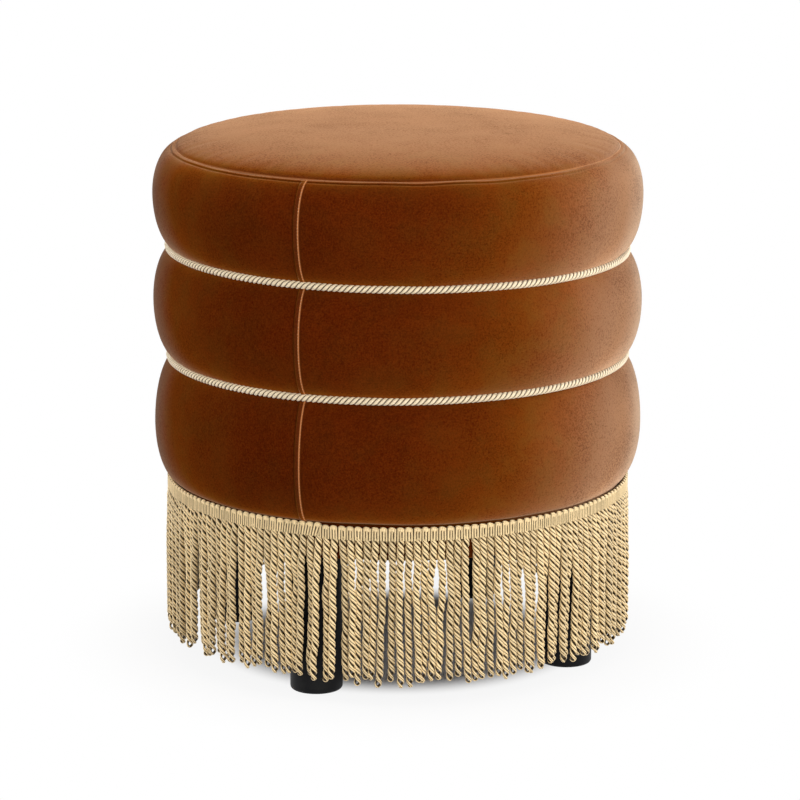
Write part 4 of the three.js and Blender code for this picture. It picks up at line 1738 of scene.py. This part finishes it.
    def tape(self, quarter: Quarter) -> bpy.types.Mesh:
        """The flat tape behind the ribs, over one quarter.

        Args:
            quarter: which quarter.

        Returns:
            A closed mesh.
        """
        steps = self.strands_per_quarter
        angles = (quarter.value + np.arange(steps + 1) / steps) * TURN / 4
        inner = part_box("base_board")[1].x + VELVET_THICKNESS + 2 * SEAT_GAP
        outer = self.strand_circle() + self.tape_out
        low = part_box("base_board")[1].z - self.tape_below
        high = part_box(quarter.node)[1].z - self.tape_drop
        from_join = (angles - self.join_polar) % TURN
        rise = from_join * (self.spiral / math.pi) - self.spiral
        points = []
        for r, z in ((outer, low), (outer, high), (inner, high), (inner, low)):
            points.append(np.stack([r * np.cos(angles), r * np.sin(angles), z + rise], axis=1))
        n = steps + 1
        faces = [(k * n + i, k * n + i + 1, (k + 1) % 4 * n + i + 1, (k + 1) % 4 * n + i)
                 for k in range(4) for i in range(steps)]
        faces += [(0, n, 2 * n, 3 * n), (4 * n - 1, 3 * n - 1, 2 * n - 1, n - 1)]
        mesh = bpy.data.meshes.new("header_tape")
        mesh.from_pydata([tuple(p) for p in np.concatenate(points)], [], faces)
        return mesh

    def build(self) -> None:
        """Makes the four quarters."""
        tree = self.tree()
        for quarter in Quarter:
            name = f"bullion_{quarter.name.lower()}"
            first = quarter.value * self.strands_per_quarter
            piece = tree.bake(name, self.tape(quarter), First_Strand=first)
            hand_over(piece, "bullion_fringe", None, quarter.node)


@dataclass(frozen=True)
class Legs:
    """Four plain turned legs in black lacquer."""

    foot_radius: float = 3 * MM
    top_radius: float = 1 * MM
    sole_inset: float = 1.5 * MM
    bolt_clearance: float = 0.3 * MM
    sides: int = 64
    foot_steps: int = 8
    top_steps: int = 4

    def outline(self, radius: float, height: float, bore: float,
                bore_bottom: float) -> list[tuple[float, float]]:
        """A leg's outline from the middle of its foot to the bottom of its bore.

        Args:
            radius: the leg's radius.
            height: its height.
            bore: the radius of the bore for the hanger bolt.
            bore_bottom: the height of the bore's end.

        Returns:
            Radius and height of each point.
        """
        points = [(0.0, 0.0), (radius - self.foot_radius - self.sole_inset, 0.0)]
        for i in range(self.foot_steps + 1):
            angle = TURN / 4 * i / self.foot_steps
            inset = self.foot_radius * (1 - math.sin(angle))
            points.append((radius - inset, self.foot_radius * (1 - math.cos(angle))))
        points += [(radius, height * share) for share in (0.25, 0.5, 0.75)]
        for i in range(self.top_steps + 1):
            angle = TURN / 4 * i / self.top_steps
            points.append((radius - self.top_radius * (1 - math.cos(angle)),
                           height - self.top_radius * (1 - math.sin(angle))))
        return points + [(bore, height), (bore, bore_bottom), (0.0, bore_bottom)]

    def build(self) -> None:
        """Makes the four legs."""
        for number in range(1, 5):
            low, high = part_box(f"leg_{number}")
            bolt_low, bolt_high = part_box(f"hanger_bolt_{number}")
            centre = ((low.x + high.x) / 2, (low.y + high.y) / 2)
            bore = (bolt_high.y - bolt_low.y) / 2 + 2 * self.bolt_clearance
            outline = self.outline((high.x - low.x) / 2, high.z, bore, bolt_low.z - self.bolt_clearance)
            leg = revolve(f"turned_leg_{number}", outline, self.sides, centre)
            hand_over(leg, "black_leg", BLACK_LACQUER, f"leg_{number}")


@dataclass(frozen=True)
class Stuffing:
    """The foam and wadding that fill the covers."""

    rows: int = 14
    sides: int = 120
    samples: int = 200
    inset: float = VELVET_THICKNESS + 2 * SEAT_GAP
    wadding: float = 4 * MM
    side_drop: float = 4 * MM
    foam_arc: tuple[float, float, int] = (0.05, 0.97, 12)
    wadding_arc: tuple[float, float, int] = (0.06, 0.97, 14)
    wadding_taper: float = 0.3
    ring_fill: float = 0.9
    seat_fill: float = 1.0
    wadding_fill: float = 0.4

    def outline(self, roll: Roll, low: float, high: float) -> list[tuple[float, float]]:
        """A roll's outline between two heights, set in from the velvet.

        Args:
            roll: the roll.
            low: the lower height.
            high: the upper height.

        Returns:
            Radius and height of each point.
        """
        radii, heights = roll.at(np.linspace(0, 1, self.samples))
        levels = np.linspace(low, high, self.rows)
        return [(float(np.interp(z, heights, radii)) - self.inset, float(z)) for z in levels]

    def ring(self, name: str, node: str, roll: Roll, inner: float) -> None:
        """A foam ring between an upright inner wall and the velvet.

        Args:
            name: the piece's name.
            node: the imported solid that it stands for.
            roll: the roll that it fills.
            inner: the radius of its inner wall.
        """
        low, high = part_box(node)[0].z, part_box(node)[1].z
        start = max(low, roll.low)
        outline = self.outline(roll, start, high)
        if low < start:
            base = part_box("base_board")[1].x
            outline = [(base, low), (base, start - SEAT_GAP)] + outline
        piece = revolve(name, [(inner, low)] + outline + [(inner, high)], self.sides)
        hand_over(piece, "foam", CREAM_FOAM, node)

    def crown(self, body: VelvetBody, arc: tuple[float, float, int], edge_inset: float,
              drop: float) -> list[tuple[float, float]]:
        """An arc of the crown, from near its edge to near its middle, set in from the velvet.

        Args:
            body: the velvet body, for its crown.
            arc: where the arc starts and ends, in quarter turns, and how many points it has.
            edge_inset: how far the arc's radius stays within the seam's.
            drop: how far the arc lies below the velvet.

        Returns:
            Radius and height of each point.
        """
        start, end, count = arc
        radii = (body.seam_radius() - edge_inset) * np.cos(np.linspace(start, end, count) * math.pi / 2)
        return [(float(r), float(body.crown_height(r + drop)) - drop) for r in radii]

    def seat(self, body: VelvetBody, upper: Roll) -> None:
        """The thick seat foam, and the wadding over it.

        Args:
            body: the velvet body, for its crown.
            upper: the upper roll.
        """
        low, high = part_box("seat_foam")
        side = self.outline(upper, low.z, upper.high - self.side_drop)
        under = self.inset + self.wadding
        crown = self.crown(body, self.foam_arc, under, under + SEAT_GAP)
        foam = revolve("seat_foam_block", [(0.0, low.z)] + side + crown + [(0.0, high.z)], self.sides)
        hand_over(foam, "foam", CREAM_FOAM, "seat_foam")
        tops = self.crown(body, self.wadding_arc, self.inset, self.inset)
        bottoms = [(r - self.wadding_taper * self.wadding, z - self.wadding) for r, z in tops]
        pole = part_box("velvet_top_panel")[1].z - self.inset
        outline = [(0.0, pole - self.wadding)] + bottoms[::-1] + tops + [(0.0, pole)]
        sheet = revolve("seat_wadding_layer", outline, self.sides)
        hand_over(sheet, "wadding", WHITE_WADDING, "seat_wadding")

    def build(self, body: VelvetBody) -> None:
        """Makes all the stuffing.

        Args:
            body: the velvet body that it fills.
        """
        lower, middle, upper = body.rolls()
        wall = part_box("drum_wall")[1].x + SEAT_GAP
        self.ring("lower_foam_wrap", "lower_roll_foam", lower, wall)
        self.ring("middle_foam_wrap", "middle_roll_foam", middle, wall)
        self.ring("board_edge_foam", "seat_edge_foam", upper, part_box("top_board")[1].x + SEAT_GAP)
        self.seat(body, upper)


@dataclass(frozen=True)
class Underside:
    """The black cloth under the base board, and the staples that hold it."""

    thickness: float = 0.5 * MM
    sag: float = 1.6 * MM
    sag_share: float = 0.55
    rings: int = 24
    columns: int = 160
    staples: int = 44
    staple_inset: float = 7 * MM
    staple_size: tuple[float, float, float] = (0.6 * MM, 10 * MM, 0.5 * MM)
    staple_proud: float = 0.3 * MM
    staple_spread: float = 3 * MM
    staple_shift: float = 0.04
    staple_turn: float = 0.3

    def cloth(self) -> bpy.types.Object:
        """The round cloth, drawn tight with a slight sag in its middle.

        Returns:
            The piece.
        """
        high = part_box("dust_cover")[1]
        radius, bottom = high.x, high.z - self.thickness
        shares = np.linspace(0, 1, self.rings + 1)[1:]
        heights = bottom - self.sag * (1 - smoothstep(0.0, self.sag_share, shares))
        below = [(0.0, bottom - self.sag)] + [(radius * s, float(z)) for s, z in zip(shares, heights)]
        outline = below + [(r, z + self.thickness) for r, z in below[::-1]]
        piece = revolve("dust_cloth", outline, self.columns)
        hand_over(piece, "dust_cloth", BLACK_CLOTH, "dust_cover")
        return piece

    def staple_row(self) -> bpy.types.Object:
        """The row of staples near the cloth's edge.

        Returns:
            The piece.
        """
        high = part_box("dust_cover")[1]
        sizes = {
            "Staples": self.staples,
            "Row Radius": high.x - self.staple_inset,
            "Height": high.z - self.thickness - self.staple_proud,
            "Seed": 9,
        }
        trim = Trim("dust_cloth_staples", sizes)
        graph = trim.graph
        shift = (trim.chance(trim.index(), 1.0) - 0.5) * self.staple_shift
        angle = trim.index() * (TURN / self.staples) + shift
        radius = trim.size("Row Radius") + (trim.chance(trim.index(), 2.0) - 0.5) * self.staple_spread
        points = trim.points(trim.size("Staples"), graph.round_axis(angle, radius, trim.size("Height")))
        bar = graph.node("GeometryNodeMeshCube", {"Size": self.staple_size}).outputs[0]
        turn = angle + (trim.chance(trim.index(), 3.0) - 0.5) * self.staple_turn
        sockets = {"Points": points, "Instance": bar, "Rotation": graph.point(0.0, 0.0, turn)}
        trim.end([graph.node("GeometryNodeInstanceOnPoints", sockets).outputs[0]], ZINC_PLATE)
        return hand_over(trim.bake("dust_cloth_staples"), "zinc_steel", None)

    def build(self) -> None:
        """Makes the cloth and its staples."""
        self.cloth()
        self.staple_row()


@dataclass(frozen=True)
class Carcass:
    """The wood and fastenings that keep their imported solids, each with its finish."""

    def build(self) -> None:
        """Gives every solid that stays its material."""
        finishes = {"top_board": BIRCH_PLY, "base_board": BIRCH_PLY, "drum_wall": BROWN_BOARD}
        for number in range(1, 5):
            finishes[f"post_{number}"] = PLANED_PINE
            for kind in ("top_screw", "base_screw", "tee_nut", "hanger_bolt"):
                finishes[f"{kind}_{number}"] = ZINC_PLATE
        for name, finish in finishes.items():
            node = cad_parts[name]
            node.material_slots[0].material = finish.material()
            log.info("%s: %s", name, finish.name)


@dataclass(frozen=True)
class Softbox:
    """One large soft lamp, placed round the seat as the camera sees it, with its angles in degrees."""

    name: str
    aside: float
    elevation: float
    power: float
    distance: float = 2.8
    size: float = 1.6


SOFTBOXES = (
    Softbox("front", -20.0, 25.0, 17.0),
    Softbox("front_low", 0.0, 8.0, 11.0),
    Softbox("right_front", 30.0, 15.0, 23.5),
    Softbox("right", 60.0, 12.0, 8.0),
    Softbox("right_back", 120.0, 15.0, 47.0),
    Softbox("right_high", 60.0, 45.0, 22.0),
    Softbox("left", -100.0, 15.0, 39.0),
    Softbox("top", 0.0, 80.0, 25.0),
)


@dataclass(frozen=True)
class Studio:
    """The pale floor, the white surround, the lamps and the camera."""

    azimuth: float = -19.7
    elevation: float = 13.13
    distance: float = 3.456
    aim_height: float = 0.2209
    lens: float = 174.5
    shift: float = 0.0029
    floor_radius: float = 14.0
    floor_sides: int = 96
    camera_reach: float = 60.0
    world_strength: float = 0.02
    floor_colour: Colour = (0.64, 0.62, 0.62)
    shadow_reach: tuple[float, float, float] = (0.125, 0.175, 0.32)
    faint_shadow: float = 0.10

    def aim(self, thing: bpy.types.Object, azimuth: float, elevation: float, distance: float) -> None:
        """Adds a camera or a lamp to the scene, aimed at the seat.

        Args:
            thing: the camera or the lamp.
            azimuth: the angle at which it stands, in degrees from the front.
            elevation: the angle at which it looks down, in degrees.
            distance: how far it stands from the point that it looks at.
        """
        a, e = math.radians(azimuth), math.radians(elevation)
        back = Vector((math.sin(a) * math.cos(e), -math.cos(a) * math.cos(e), math.sin(e)))
        thing.location = Vector((0, 0, self.aim_height)) + back * distance
        thing.rotation_euler = back.to_track_quat("Z", "Y").to_euler()
        bpy.context.scene.collection.objects.link(thing)

    def camera(self) -> None:
        """Sets up the camera at the photograph's angle."""
        data = bpy.data.cameras.new("camera")
        data.lens = self.lens
        data.shift_x = self.shift
        data.clip_end = self.camera_reach
        camera = bpy.data.objects.new("camera", data)
        self.aim(camera, self.azimuth, self.elevation, self.distance)
        bpy.context.scene.camera = camera

    def lamps(self) -> None:
        """Sets up the soft lamps."""
        for box in SOFTBOXES:
            data = bpy.data.lights.new(box.name, "AREA")
            data.shape = "DISK"
            data.size = box.size
            data.energy = box.power
            lamp = bpy.data.objects.new(box.name, data)
            self.aim(lamp, self.azimuth + box.aside, box.elevation, box.distance)

    def surround(self) -> None:
        """Makes the world white for the camera and for reflections, and softer as a light."""
        world = bpy.data.worlds.new("surround")
        world.use_nodes = True
        bpy.context.scene.world = world
        graph = ShaderGraph(world.node_tree)
        background = world.node_tree.nodes["Background"]
        background.inputs["Color"].default_value = (1.0, 1.0, 1.0, 1.0)
        strength = graph.seen() * (1.0 - self.world_strength) + self.world_strength
        graph.feed(background.inputs["Strength"], strength)

    def floor(self) -> None:
        """Lays a pale floor that keeps the seat's shadow and turns plain white away from it."""
        angles = np.arange(self.floor_sides) * TURN / self.floor_sides
        points = np.stack([np.cos(angles), np.sin(angles), 0 * angles], axis=1) * self.floor_radius
        floor = new_object("studio_floor", points, [tuple(range(self.floor_sides))])
        made = bpy.data.materials.new("pale_floor")
        made.use_nodes = True
        graph = ShaderGraph(made.node_tree)
        made.node_tree.nodes.remove(made.node_tree.nodes["Principled BSDF"])
        x, y, _ = graph.parts(graph.place())
        radius = graph.math("SQRT", x * x + y * y)
        inner, middle, outer = self.shadow_reach
        away = graph.rise(radius, inner, middle) * (1.0 - self.faint_shadow)
        away = away + graph.rise(radius, middle, outer) * self.faint_shadow
        matt = graph.node("ShaderNodeBsdfDiffuse", {"Color": self.floor_colour}).outputs[0]
        white = graph.node("ShaderNodeEmission", {"Strength": 1.0}).outputs[0]
        both = graph.node("ShaderNodeMixShader", {0: away * graph.seen(), 1: matt, 2: white}).outputs[0]
        graph.feed(made.node_tree.nodes["Material Output"].inputs["Surface"], both)
        floor.data.materials.append(made)

    def build(self) -> None:
        """Sets up the whole studio."""
        bpy.context.scene.view_settings.view_transform = "Standard"
        self.camera()
        self.lamps()
        self.surround()
        self.floor()


def main() -> None:
    """Builds the studio and the seat."""
    logging.basicConfig(level=logging.INFO, format="%(name)s %(message)s")
    Studio().build()
    body = VelvetBody()
    body.build()
    GrooveCords().build(body)
    BullionFringe().build()
    Legs().build()
    Stuffing().build(body)
    Underside().build()
    Carcass().build()


if __name__ == "__main__":
    main()
